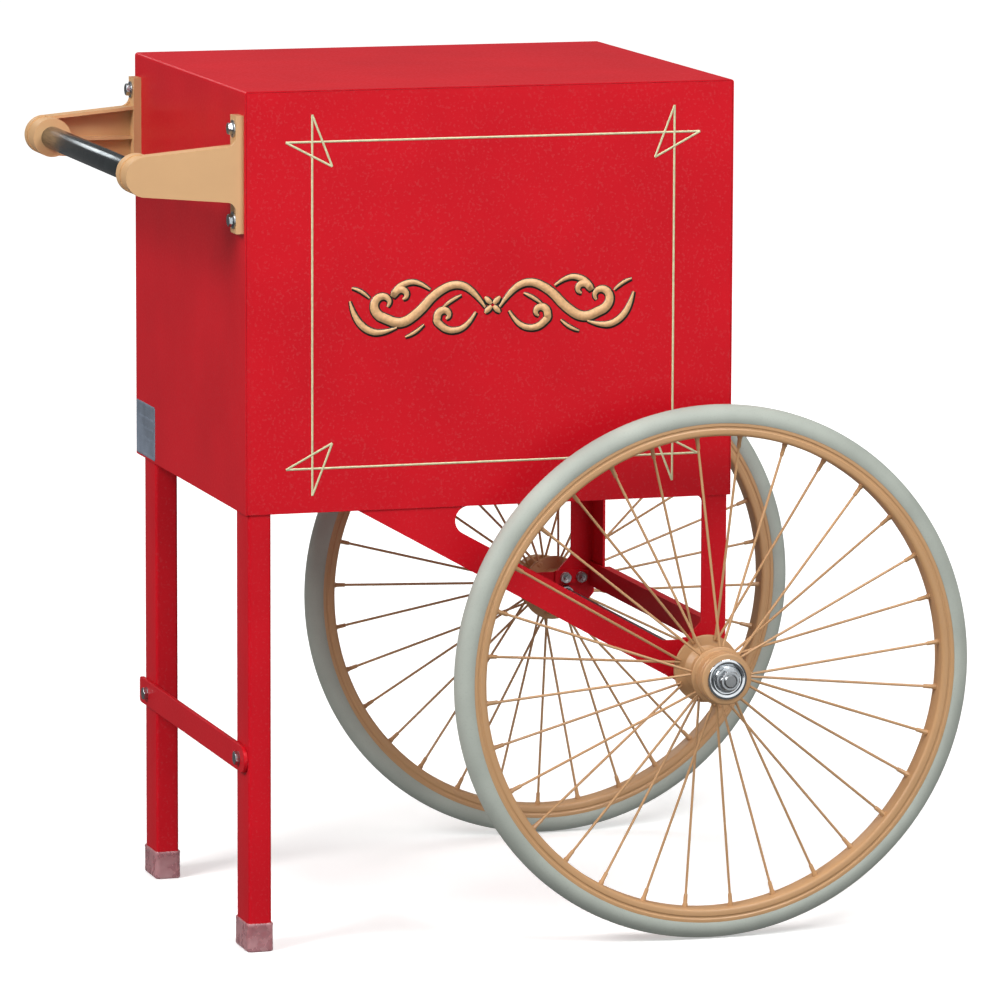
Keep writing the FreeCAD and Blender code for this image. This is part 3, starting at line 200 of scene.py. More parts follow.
def finish(name, tone, rough, relief=None, specks=None, drawn=(1.0, 1.0, 1.0), surface=None):
    """A finish whose tone, roughness and relief follow patterns of real sizes, in millimetres.

    tone is (size, detail, darker colour, paler colour) and rough is (size, detail, least, most). relief is
    (size, detail, strength, depth), and specks is (size, detail, where they start, where they are full,
    cover, colour). Marks in roughness and relief are stretched where drawn is under 1. surface holds further
    values of the shader.
    """
    material, tree, shader, place = new_material(name)
    stretched = add(tree, "ShaderNodeMapping", {"Vector": place, "Scale": drawn}).outputs[0]
    pattern = {}
    for row, vector in ((tone, place), (rough, stretched), (relief, stretched), (specks, place)):
        if row and row[:2] not in pattern:
            size, detail = row[:2]
            pattern[size, detail] = add(tree, "ShaderNodeTexNoise", {
                "Vector": vector, "Scale": 1 / (size * MM), "Detail": detail}).outputs[0]
    share = add(tree, "ShaderNodeMapRange", {
        "Value": pattern[tone[:2]], 1: NOISE_LOW, 2: NOISE_HIGH, 3: 0.0, 4: 1.0})
    base = add(tree, "ShaderNodeMix", {"Factor": share.outputs[0], 6: tone[2], 7: tone[3]}, data_type="RGBA")
    if specks:
        start, full, cover, colour = specks[2:]
        spots = add(tree, "ShaderNodeMapRange", {
            "Value": pattern[specks[:2]], 1: start, 2: full, 3: 0.0, 4: cover})
        base = add(tree, "ShaderNodeMix", {"Factor": spots.outputs[0], 6: base.outputs[2], 7: colour},
                   data_type="RGBA")
    tree.links.new(base.outputs[2], shader.inputs["Base Color"])
    sheen = add(tree, "ShaderNodeMapRange", {
        "Value": pattern[rough[:2]], 1: NOISE_LOW, 2: NOISE_HIGH, 3: rough[2], 4: rough[3]})
    tree.links.new(sheen.outputs[0], shader.inputs["Roughness"])
    if relief:
        bump = add(tree, "ShaderNodeBump", {
            "Height": pattern[relief[:2]], "Strength": relief[2], "Distance": relief[3] * MM})
        tree.links.new(bump.outputs[0], shader.inputs["Normal"])
    for socket, value in (surface or {}).items():
        shader.inputs[socket].default_value = value
    return material


def powder_coat(name, colour, fleck, rough, gloss):
    """Powder coat or enamel on steel, baked: faint clouds, pale flecks and a fine orange peel."""
    pale = tuple(0.8 * c + 0.06 for c in colour) + (1.0,)
    return finish(name, (90, 3, shade(colour, 0.94), shade(colour, 1.05)),
                  (fleck, 2, rough - 0.05, rough + 0.05), (2.2, 2, 0.25, 0.08),
                  (fleck, 2, 0.56, 0.72, 0.3, pale), surface={"IOR": 1.5, "Specular IOR Level": gloss})


def metal(name, code, rough, grain, drawn=(1.0, 1.0, 1.0), depth=0.15, metallic=1.0):
    """A bare or plated metal, faintly stained, with fine marks that run along a direction."""
    colour = linear(code)
    return finish(name, (14, 3, shade(colour, 0.82), shade(colour, 1.05)),
                  (grain, 4, rough * 0.75, rough * 1.3), (grain, 4, depth, 0.05), drawn=drawn,
                  surface={"Metallic": metallic})


def painted_line(name, colour):
    """Sign-writer's enamel laid on by brush: slightly raised, satin, a little uneven in tone."""
    return finish(name, (3, 4, shade(colour, 0.82), shade(colour, 1.1)), (3, 4, 0.35, 0.5))


def make_materials(colours):
    """Every finish of the cart, by its slot in the record."""
    nylon = tuple(colours.moulding)
    rubber = tuple(colours.rubber)
    return {
        # Gloss powder coat. Its mirror-like part is weak, so the red stays deep under a pale sky.
        "red_paint": powder_coat("red_powder_coat", tuple(colours.red), 2.4, 0.36, 0.1),
        # Satin enamel dipped over wire and rolled rims: warm, with a soft sheen and faint runs.
        "tan_paint": powder_coat("tan_enamel", tuple(colours.tan), 3.5, 0.4, 0.5),
        # Glass-filled nylon, moulded: an eggshell surface with a very fine texture and slight flow marks.
        "tan_moulding": finish("tan_moulded_nylon", (35, 2, shade(nylon, 0.97), shade(nylon, 1.02)),
                               (0.9, 2, 0.42, 0.56), (0.9, 2, 0.2, 0.05), surface={"IOR": 1.53}),
        # Grey solid rubber, moulded: matt, a little dusty, with fine pores.
        "rubber": finish("grey_moulded_rubber", (45, 5, shade(rubber, 0.9), shade(rubber, 1.06)),
                         (45, 5, 0.6, 0.75), (1.4, 3, 0.35, 0.1),
                         (1.4, 3, 0.55, 0.75, 0.35, shade(rubber, 0.72)), surface={"IOR": 1.52}),
        # Soft PVC, dip-moulded: milky and half clear, so the red of the leg shows through it as pink.
        "vinyl": finish("clear_dipped_vinyl", (9, 3, linear("C9868D"), linear("E2AEB2")), (9, 3, 0.22, 0.36),
                        (9, 3, 0.3, 0.2), surface={"Transmission Weight": 0.45, "IOR": 1.54}),
        # Black-nickel plated tube, drawn and buffed: dark, with a sharp bright line along its top.
        "grip_tube": metal("black_nickel_tube", "7C868A", 0.2, 1.2, (1.0, 0.05, 1.0), 0.08),
        # Bright zinc plate on cold-formed steel: cool grey, with a soft uneven shine.
        "zinc": metal("bright_zinc_plate", "BFC4C8", 0.3, 0.8),
        # Polished chrome plate on a pressed cap: mirror-like, with hairline polishing marks.
        "chrome": metal("polished_chrome_plate", "DDE2E6", 0.1, 0.6, depth=0.05),
        # Cold-rolled steel, lightly oiled: mid grey with fine rolling lines.
        "steel": metal("cold_rolled_steel", "A3A6A8", 0.36, 0.5, (1.0, 1.0, 0.1)),
        # Satin aluminium foil under clear lacquer, brushed along its length: pale and only half mirror-like.
        "foil": metal("brushed_foil", "8B96A6", 0.42, 0.6, (1.0, 0.08, 1.0), 0.2, 0.3),
        # Black ABS, moulded with a fine spark texture that keeps it from shining.
        "black_plastic": finish("black_moulded_abs", (0.7, 2, linear("191A1C"), linear("1F2022")),
                                (0.7, 2, 0.45, 0.6), (0.7, 2, 0.3, 0.05)),
        # Pressed and sintered ferrite: dark, dry and slightly coarse.
        "magnet": metal("sintered_ferrite", "4A4A4C", 0.62, 0.5, depth=0.4),
        "stripe": painted_line("cream_pinstripe_enamel", tuple(colours.stripe)),
        "gold": painted_line("gold_scroll_enamel", tuple(colours.gold)),
        "outline": painted_line("dark_outline_enamel", tuple(colours.outline)),
    }


# ---------------------------------------------------------------- meshes and pieces
def mesh_from(name, vertices, faces):
    """Make a closed mesh with outward normals and smooth faces between sharp edges."""
    mesh = bpy.data.meshes.new(name)
    mesh.from_pydata([tuple(v) for v in vertices], [], faces)
    tidy = bmesh.new()
    tidy.from_mesh(mesh)
    bmesh.ops.remove_doubles(tidy, verts=tidy.verts, dist=0.001 * MM)
    bmesh.ops.recalc_face_normals(tidy, faces=tidy.faces)
    tidy.to_mesh(mesh)
    tidy.free()
    smooth(mesh)
    return mesh


def smooth(mesh):
    mesh.shade_smooth()
    mesh.set_sharp_from_angle(angle=SHARP)


def join_meshes(name, meshes):
    """Join several meshes into one."""
    joined = bmesh.new()
    for mesh in meshes:
        joined.from_mesh(mesh)
    whole = bpy.data.meshes.new(name)
    joined.to_mesh(whole)
    joined.free()
    smooth(whole)
    return whole


def new_object(name, mesh):
    item = bpy.data.objects.new(name, mesh)
    bpy.context.scene.collection.objects.link(item)
    return item


def bake(item, name):
    """Turn an object's evaluated shape into a plain mesh, and delete the object."""
    bpy.context.view_layer.update()
    graph = bpy.context.evaluated_depsgraph_get()
    mesh = bpy.data.meshes.new_from_object(item.evaluated_get(graph), preserve_all_data_layers=True,
                                           depsgraph=graph)
    mesh.name = name
    bpy.data.objects.remove(item)
    return mesh


def finish_piece(name, mesh, slot, replaced=(), body="cart", material=None):
    """Make a piece of the cart: its finish, the body that it moves with and the nodes it stands for."""
    mesh.materials.clear()
    mesh.materials.append(MATERIALS[material or slot])
    piece = new_object(name, mesh)
    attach(piece, body)
    if replaced:
        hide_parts(*replaced)
    return piece


def rounded(corners, radii, steps=4, closed=True):
    """Round the corners of a flat outline: a corner with a radius becomes an arc."""
    count = len(corners)
    if not hasattr(radii, "__len__"):
        radii = [radii] * count
    line = []
    for index, corner in enumerate(corners):
        here = Vector(corner)
        if radii[index] <= 0 or (not closed and index in (0, count - 1)):
            line.append(here)
            continue
        before = Vector(corners[index - 1]) - here
        after = Vector(corners[(index + 1) % count]) - here
        half = before.angle(after) / 2
        reach = min(radii[index] / math.tan(half), before.length * 0.49, after.length * 0.49)
        radius = reach * math.tan(half)
        middle = here + (before.normalized() + after.normalized()).normalized() * (radius / math.sin(half))
        start = here + before.normalized() * reach - middle
        end = here + after.normalized() * reach - middle
        sweep = start.angle_signed(end)
        for step in range(steps + 1):
            turned = Matrix.Rotation(-sweep * step / steps, 2) @ start
            line.append(middle + turned)
    return line


def lathe(name, profile, centre, segments=96, closed=True, side=-1):
    """Turn a profile of (radius, outward distance) about the axle's direction through a centre.

    An open profile starts and ends on the axis. side is -1 where outward is -Y, and 1 where it is +Y.
    """
    vertices = []
    rings = []
    for radius, out in profile:
        along = centre[1] + side * out
        if radius < 0.001 * MM:
            rings.append([len(vertices)])
            vertices.append((centre[0], along, centre[2]))
            continue
        rings.append(list(range(len(vertices), len(vertices) + segments)))
        for index in range(segments):
            angle = 2 * math.pi * index / segments
            vertices.append((centre[0] + radius * math.cos(angle), along,
                             centre[2] + radius * math.sin(angle)))
    faces = []
    pairs = list(zip(rings, rings[1:]))
    if closed:
        pairs.append((rings[-1], rings[0]))
    for first, second in pairs:
        for index in range(segments):
            following = (index + 1) % segments
            if len(first) == 1:
                faces.append((first[0], second[index], second[following]))
            elif len(second) == 1:
                faces.append((first[index], second[0], first[following]))
            else:
                faces.append((first[index], second[index], second[following], first[following]))
    return mesh_from(name, vertices, faces)


def tube_rings(name, rings):
    """Skin a stack of loops with equal counts, and close the first and last with a face."""
    count = len(rings[0])
    vertices = [point for ring in rings for point in ring]
    faces = [tuple(range(count)), tuple(range(len(vertices) - count, len(vertices)))]
    for level in range(len(rings) - 1):
        for index in range(count):
            following = (index + 1) % count
            faces.append((level * count + index, level * count + following,
                          (level + 1) * count + following, (level + 1) * count + index))
    return mesh_from(name, vertices, faces)


def rounded_box_loop(centre, half_x, half_y, radius, z):
    corners = [(centre.x + sx * half_x, centre.y + sy * half_y) for sx, sy in QUADRANTS]
    return [Vector((x, y, z)) for x, y in rounded(corners, radius, 5)]


def softened(node, width, segments):
    """Copy a CAD node's mesh, join its triangles, and round its sharp edges."""
    mesh = NODES[node].data.copy()
    tidy = bmesh.new()
    tidy.from_mesh(mesh)
    bmesh.ops.remove_doubles(tidy, verts=tidy.verts, dist=WELD)
    bmesh.ops.dissolve_limit(tidy, angle_limit=math.radians(0.4), verts=tidy.verts, edges=tidy.edges)
    tidy.to_mesh(mesh)
    tidy.free()
    mesh.shade_smooth()
    item = new_object(node + "_copy", mesh)
    bevel = item.modifiers.new("round_edges", "BEVEL")
    bevel.width = width
    bevel.segments = segments
    bevel.limit_method = "ANGLE"
    bevel.angle_limit = ROUNDED
    bevel.use_clamp_overlap = True
    bevel.miter_outer = "MITER_ARC"
    item.modifiers.new("flat_faces", "WEIGHTED_NORMAL").keep_sharp = True
    return bake(item, node + "_mesh")


# ---------------------------------------------------------------- geometry node trees
def new_shape_tree(name, sockets):
    """Start a geometry tree with one geometry input and output, and further named inputs."""
    tree = bpy.data.node_groups.new(name, "GeometryNodeTree")
    tree.interface.new_socket("Geometry", in_out="INPUT", socket_type="NodeSocketGeometry")
    tree.interface.new_socket("Geometry", in_out="OUTPUT", socket_type="NodeSocketGeometry")
    for label, kind, value in sockets:
        socket = tree.interface.new_socket(label, in_out="INPUT", socket_type=kind)
        if value is not None:
            socket.default_value = value
    return tree, add(tree, "NodeGroupInput")


def end_shape_tree(tree, given, shape):
    """End a tree with real geometry in the given material."""
    solid = add(tree, "GeometryNodeRealizeInstances", {"Geometry": shape.outputs[0]})
    painted = add(tree, "GeometryNodeSetMaterial", {"Geometry": solid.outputs[0],
                                                    "Material": given.outputs["Material"]})
    add(tree, "NodeGroupOutput", {0: painted.outputs[0]})
    return tree


def round_the_axle_tree():
    """Repeat one piece round the Y axis through a centre."""
    tree, given = new_shape_tree("repeat_round_axle", [
        ("Piece", "NodeSocketObject", None),
        ("Repeats", "NodeSocketInt", 8),
        ("Centre", "NodeSocketVector", None),
        ("Material", "NodeSocketMaterial", None),
    ])
    points = add(tree, "GeometryNodePoints", {"Count": given.outputs["Repeats"],
                                              "Position": given.outputs["Centre"]})
    number = add(tree, "GeometryNodeInputIndex")
    turn = add(tree, "ShaderNodeMath", {0: 2 * math.pi, 1: given.outputs["Repeats"]}, operation="DIVIDE")
    angle = add(tree, "ShaderNodeMath", {0: number.outputs[0], 1: turn.outputs[0]}, operation="MULTIPLY")
    about_y = add(tree, "ShaderNodeCombineXYZ", {"Y": angle.outputs[0]})
    rotation = add(tree, "FunctionNodeEulerToRotation", {0: about_y.outputs[0]})
    source = add(tree, "GeometryNodeObjectInfo", {"Object": given.outputs["Piece"]})
    copies = add(tree, "GeometryNodeInstanceOnPoints", {
        "Points": points.outputs[0], "Instance": source.outputs["Geometry"], "Rotation": rotation.outputs[0]})
    return end_shape_tree(tree, given, copies)


def on_faces_tree():
    """Stand one piece on each point, facing along the point's own direction, with a random spin."""
    tree, given = new_shape_tree("stand_on_points", [
        ("Piece", "NodeSocketObject", None),
        ("Seed", "NodeSocketInt", 3),
        ("Material", "NodeSocketMaterial", None),
    ])
    facing = add(tree, "GeometryNodeInputNamedAttribute", {"Name": "facing"}, data_type="FLOAT_VECTOR")
    aligned = add(tree, "FunctionNodeAlignRotationToVector", {"Vector": facing.outputs[0]}, axis="Z")
    spin = add(tree, "FunctionNodeRandomValue", {"Seed": given.outputs["Seed"]}, data_type="FLOAT")
    spin.inputs[2].default_value = 0.0
    spin.inputs[3].default_value = math.pi / 3
    about_z = add(tree, "ShaderNodeCombineXYZ", {"Z": spin.outputs[1]})
    spun = add(tree, "FunctionNodeEulerToRotation", {0: about_z.outputs[0]})
    rotation = add(tree, "FunctionNodeRotateRotation", {0: aligned.outputs[0], 1: spun.outputs[0]},
                   rotation_space="LOCAL")
    source = add(tree, "GeometryNodeObjectInfo", {"Object": given.outputs["Piece"]})
    copies = add(tree, "GeometryNodeInstanceOnPoints", {
        "Points": given.outputs["Geometry"], "Instance": source.outputs["Geometry"],
        "Rotation": rotation.outputs[0]})
    return end_shape_tree(tree, given, copies)


def ribbon_tree():
    """Lay a flat painted ribbon along curves; each point's radius is half of the ribbon's width."""
    tree, given = new_shape_tree("painted_ribbon", [
        ("Extra width", "NodeSocketFloat", 0.0),
        ("Thickness", "NodeSocketFloat", 0.08),
        ("Step", "NodeSocketFloat", 0.001),
        ("Material", "NodeSocketMaterial", None),
    ])
    fine = add(tree, "GeometryNodeResampleCurve", {"Curve": given.outputs["Geometry"],
                                                   "Length": given.outputs["Step"]}, mode="LENGTH")
    level = add(tree, "GeometryNodeSetCurveNormal", {"Curve": fine.outputs[0]}, mode="Z_UP")
    radius = add(tree, "GeometryNodeInputRadius")
    wider = add(tree, "ShaderNodeMath", {0: radius.outputs[0], 1: given.outputs["Extra width"]},
                operation="ADD")
    profile = add(tree, "GeometryNodeCurvePrimitiveQuadrilateral", {"Width": 2.0,
                                                                    "Height": given.outputs["Thickness"]})
    band = add(tree, "GeometryNodeCurveToMesh", {
        "Curve": level.outputs[0], "Profile Curve": profile.outputs[0], "Scale": wider.outputs[0],
        "Fill Caps": True})
    return end_shape_tree(tree, given, band)


def apply_tree(name, base, tree, values):
    """Run a geometry tree on an object with the given named inputs, and return the plain mesh."""
    modifier = base.modifiers.new(tree.name, "NODES")
    modifier.node_group = tree
    for item in tree.interface.items_tree:
        if item.item_type == "SOCKET" and item.in_out == "INPUT" and item.name in values:
            modifier[item.identifier] = values[item.name]
    return bake(base, name)


# ---------------------------------------------------------------- wheels
def tyre_profile(outer, lip, half):
    """Round tread with a fine mould seam, sidewalls down to the rim's lips, and a foot between them."""
    section = (outer - lip) / 2 + half * 0.37
    middle = outer - section
    line = []
    for step in range(-15, 16):
        angle = math.radians(step * 7.4)
        seam = 0.25 * MM if step == 0 else 0.0
        line.append((middle + (section - 0.25 * MM) * math.cos(angle) + seam, section * math.sin(angle)))
    foot = half - 2.2 * MM
    seat = RIM_FACE + 5 * MM
    side = lip - 0.3 * MM
    line += [(side, foot + 0.8 * MM), (seat, foot), (seat, -foot), (side, -foot - 0.8 * MM)]
    return line


def rim_profile(outer, half):
    """Rolled channel: flat inner face, fillets, sides with a rolled groove, and hemmed lips."""
    inner = RIM_FACE
    side = [
        (inner, 0), (inner, half), (outer - 6.5 * MM, half), (outer - 5.5 * MM, half - 0.8 * MM),
        (outer - 4.2 * MM, half - 0.8 * MM), (outer - 3.2 * MM, half), (outer, half), (outer, half - WALL),
        (inner + 3.4 * MM, half - WALL), (inner + 2 * MM, 0),
    ]
    radii = [0, 3.2 * MM, 0.5 * MM, 0.4 * MM, 0.4 * MM, 0.5 * MM, 0.7 * MM, 0.5 * MM, 1.5 * MM, 0]
    upper = [tuple(p) for p in rounded(side, radii, 4, closed=False)]
    lower = [(radius, -across) for radius, across in reversed(upper[1:-1])]
    return upper + lower


def hub_profile(in_end, out_end):
    """Turned hub from its inner end to its outer end, with two spoke flanges and beaded shoulders."""
    shell = 24.3 * MM
    bore = 15 * MM
    bead = shell - 1 * MM
    corners = [
        (bore, in_end), (20 * MM, in_end), (20 * MM, -21.5 * MM), (INNER_FLANGE, -21.5 * MM),
        (INNER_FLANGE, -18.5 * MM), (22 * MM, -18.5 * MM), (17 * MM, -13 * MM), (17 * MM, 9 * MM),
        (21.3 * MM, 14.5 * MM), (OUTER_FLANGE, 15.5 * MM), (OUTER_FLANGE, 18.5 * MM), (bead, 19.5 * MM),
        (bead, 24 * MM), (shell, 25 * MM), (shell, 33 * MM), (bead, 34 * MM), (shell, 35 * MM),
        (shell, out_end), (bore, out_end),
    ]
    radii = [0.4, 1.5, 1.5, 1.2, 1.2, 2, 3, 4, 1.5, 1.2, 1.2, 0.8, 0.6, 0.6, 0.6, 0.5, 0.6, 1.8, 0.6]
    return [tuple(p) for p in rounded(corners, [r * MM for r in radii], 4)]


def hub_cap_profile(face, edge):
    """Pressed bearing cover: a rolled bright ring round a dished face."""
    corners = [
        (6.6 * MM, face - 8 * MM), (15 * MM, face - 8 * MM), (15 * MM, face - 2 * MM), (edge, face - 2 * MM),
        (edge, face - 0.5 * MM), (edge - 2.2 * MM, face), (edge - 4.5 * MM, face - 0.4 * MM),
        (13.5 * MM, face - 1.4 * MM), (12.5 * MM, face - 1.5 * MM), (11.8 * MM, face - 0.6 * MM),
        (6.6 * MM, face - 0.6 * MM),
    ]
    radii = [0.2, 0.3, 0.2, 0.3, 0.7, 0.9, 0.8, 0.5, 0.3, 0.4, 0.2]
    return [tuple(p) for p in rounded(corners, [r * MM for r in radii], 4)]


def wire_mesh(name, points, radii, sides=10):
    """Skin a round wire along a path of points."""
    rings = []
    for index, point in enumerate(points):
        before = points[max(0, index - 1)]
        after = points[min(len(points) - 1, index + 1)]
        along = (after - before).normalized()
        across = along.cross(Vector((0, 1, 0)))
        if across.length < 0.1:
            across = along.cross(Vector((1, 0, 0)))
        across.normalize()
        other = along.cross(across)
        ring = []
        for side in range(sides):
            angle = 2 * math.pi * side / sides
            ring.append(point + (across * math.cos(angle) + other * math.sin(angle)) * radii[index])
        rings.append(ring)
    return tube_rings(name, rings)


def polar(radius, angle, across):
    return Vector((radius * math.cos(angle), across, radius * math.sin(angle)))


def spoke_group(settings, side, phase):
    """Four neighbouring spokes with their heads, elbows and nipples, about the wheel's own centre."""
    pitch = 2 * math.pi / settings.spokes
    wires = []
    nipples = []
    for index in range(4):
        at_rim = phase + index * pitch
        at_hub = at_rim + settings.lead * (-1 if index in (0, 3) else 1)
        outboard = index % 2 == 0
        holes = (OUTER_FLANGE if outboard else INNER_FLANGE) - HOLE_INSET
        plane = side * (OUTER_PLANE if outboard else INNER_PLANE)
        inward = -side if outboard else side
        face = plane + inward * 2.6 * MM
        rim_end = polar(RIM_FACE, at_rim, side * (2 if outboard else -2) * MM)
        corner = polar(holes, at_hub, face)
        along = (rim_end - corner).normalized()
        nipple_end = rim_end - along * settings.nipple_long
        hole = polar(holes, at_hub, plane)
        head = polar(holes, at_hub, plane - inward * 1.5 * MM)
        dome = head - Vector((0, inward * 1.3 * MM, 0))
        bend = settings.wire * 1.6
        path = [dome, dome + (head - dome) * 0.5, head, head, hole]
        radii = [settings.wire * ratio for ratio in (0.5, 1.7, 1.9, 1, 1)]
        leave = corner + (hole - corner).normalized() * bend
        reach = corner + along * bend
        for step in range(5):
            share = step / 4
            path.append(leave * (1 - share) ** 2 + corner * 2 * share * (1 - share) + reach * share ** 2)
            radii.append(settings.wire)
        path.append(nipple_end + along * 2 * MM)
        radii.append(settings.wire)
        wires.append(wire_mesh("spoke", path, radii))
        body = [nipple_end - along * 0.2 * MM, nipple_end, nipple_end + along * 0.8 * MM,
                nipple_end + along * 8.5 * MM, nipple_end + along * 9.5 * MM, rim_end + along * 1.2 * MM]
        widths = [1.32 * MM, 1.6 * MM, settings.nipple * 0.93, settings.nipple, settings.nipple * 1.25,
                  settings.nipple * 1.35]
        nipples.append(wire_mesh("nipple", body, widths, 8))
    return join_meshes("spoke_group", wires), join_meshes("nipple_group", nipples)


def build_wheel(name, settings):
    """Tyre, rim, hub, bearing covers and spokes of one wheel."""
    side = SIDES[name]
    body = f"{name}_wheel"
    centre = JOINT_AT[f"{name}_wheel_spin"]
    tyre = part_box(f"{name}_tyre")
    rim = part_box(f"{name}_rim")
    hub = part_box(f"{name}_hub")
    outer = (tyre[1].z - tyre[0].z) / 2
    lip = (rim[1].z - rim[0].z) / 2
    half = (rim[1].y - rim[0].y) / 2
    ends = sorted(side * (value - centre.y) for value in (hub[0].y, hub[1].y))
    for node, label, profile, segments, slot in (
        ("tyre", "tyre_moulding", tyre_profile(outer, lip, half), 240, "rubber"),
        ("rim", "rolled_rim", rim_profile(lip, half), 240, "tan_paint"),
        ("hub", "turned_hub", hub_profile(*ends), 96, "tan_paint"),
    ):
        turned = lathe(node, profile, centre, segments, True, side)
        finish_piece(f"{name}_{label}", turned, slot, [f"{name}_{node}"], body)
    covers = [lathe("cover", hub_cap_profile(ends[1] + 2 * MM, 19 * MM), centre, 96, True, side)]
    inner_face = [(r, -out) for r, out in hub_cap_profile(-ends[0] + 1.8 * MM, 18 * MM)]
    covers.append(lathe("inner_cover", inner_face, centre, 96, True, side))
    finish_piece(f"{name}_bearing_covers", join_meshes("covers", covers), "chrome", [f"{name}_hub_bushes"],
                 body)
    tree = round_the_axle_tree()
    phase = settings.phase if side < 0 else settings.phase + math.radians(4.0)
    wires, nipples = spoke_group(settings, side, phase)
    for label, mesh, node in (
        ("wire_spokes", wires, "spokes"),
        ("spoke_nipples_set", nipples, "spoke_nipples"),
    ):
        source = new_object(label + "_source", mesh)
        holder = new_object(label + "_holder", bpy.data.meshes.new("empty"))
        made = apply_tree(label, holder, tree, {
            "Piece": source, "Repeats": settings.spokes // 4, "Centre": centre,
            "Material": MATERIALS["tan_paint"]})
        bpy.data.objects.remove(source)
        finish_piece(f"{name}_{label}", made, "tan_paint", [f"{name}_{node}"], body)


# ---------------------------------------------------------------- fasteners and axle ends
def hexagon_solid(name, corner, high, chamfer, bore=0.0, washer=0.0):
    """Hexagonal head or nut that stands on its base, with a turned chamfer and a round washer face."""
    steps = 6
    count = 6 * steps
    flat = corner * math.cos(math.pi / 6)

    def loop(z, limit):
        ring = []
        for index in range(count):
            angle = 2 * math.pi * index / count
            local = (angle + math.pi / 6) % (math.pi / 3) - math.pi / 6
            radius = min(flat / math.cos(local), limit)
            ring.append(Vector((radius * math.cos(angle), radius * math.sin(angle), z)))
        return ring

    def circle(radius, z):
        ring = []
        for index in range(count):
            angle = 2 * math.pi * index / count
            ring.append(Vector((radius * math.cos(angle), radius * math.sin(angle), z)))
        return ring

    lift = 0.4 * MM if washer else 0.0
    rings = []
    if bore:
        rings.append(circle(bore, 0))
    if washer:
        rings += [circle(washer, 0), circle(washer, lift)]
    rings += [
        loop(lift, flat * 1.02), loop(lift + chamfer * 0.5, corner * 2), loop(high - chamfer, corner * 2),
        loop(high - chamfer * 0.5, flat + (corner - flat) * 0.55), loop(high, flat * 0.98),
    ]
    if bore:
        rings += [circle(bore + 0.5 * MM, high), circle(bore, high - 0.5 * MM)]
        return ring_solid(name, rings)
    rings += [circle(flat * 0.6, high), circle(flat * 0.5, high - 0.25 * MM)]
    return tube_rings(name, rings)


def ring_solid(name, rings):
    """Skin a closed stack of loops, the last joined to the first."""
    count = len(rings[0])
    vertices = [point for ring in rings for point in ring]
    faces = []
    for level in range(len(rings)):
        above = (level + 1) % len(rings)
        for index in range(count):
            following = (index + 1) % count
            faces.append((level * count + index, level * count + following,
                          above * count + following, above * count + index))
    return mesh_from(name, vertices, faces)


def loose_solids(node):
    """The centre and size of each separate solid of a CAD node."""
    tidy = bmesh.new()
    tidy.from_mesh(NODES[node].data)
    bmesh.ops.remove_doubles(tidy, verts=tidy.verts, dist=WELD)
    left = set(tidy.verts)
    boxes = []
    while left:
        stack = [left.pop()]
        found = []
        while stack:
            vertex = stack.pop()
            found.append(vertex.co.copy())
            for edge in vertex.link_edges:
                other = edge.other_vert(vertex)
                if other in left:
                    left.remove(other)
                    stack.append(other)
        low = Vector([min(co[axis] for co in found) for axis in range(3)])
        high = Vector([max(co[axis] for co in found) for axis in range(3)])
        boxes.append((low, high))
    tidy.free()
    return sorted(boxes, key=lambda pair: tuple(pair[0]))


def stand_on(name, piece_mesh, places, slot, replaced, seed):
    """Stand copies of one piece on points, each with its own facing direction."""
    points = bpy.data.meshes.new(name + "_points")
    points.from_pydata([tuple(at) for at, _ in places], [], [])
    facing = points.attributes.new("facing", "FLOAT_VECTOR", "POINT")
    for index, (_, direction) in enumerate(places):
        facing.data[index].vector = direction
    source = new_object(name + "_source", piece_mesh)
    holder = new_object(name + "_holder", points)
    made = apply_tree(name, holder, on_faces_tree(), {"Piece": source, "Seed": seed,
                                                      "Material": MATERIALS[slot]})
    bpy.data.objects.remove(source)
    smooth(made)
    return finish_piece(name, made, slot, replaced)


def bolt_mesh(corner, high, shank, long):
    """Hex bolt: the head stands up from the base, and the threaded shank hangs below it."""
    head = hexagon_solid("head", corner, high, 0.6 * MM, washer=corner * 0.93)
    rings = []
    pitch = 1.0 * MM
    count = 20
    turns = int(long / pitch)
    for step in range(turns * 2 + 1):
        z = min(-long + step * pitch / 2, 0.1 * MM)
        radius = shank if step % 2 == 0 else shank - 0.35 * MM
        turned = [2 * math.pi * index / count for index in range(count)]
        rings.append([Vector((radius * math.cos(angle), radius * math.sin(angle), z)) for angle in turned])
    return join_meshes("bolt", [head, tube_rings("shank", rings)])


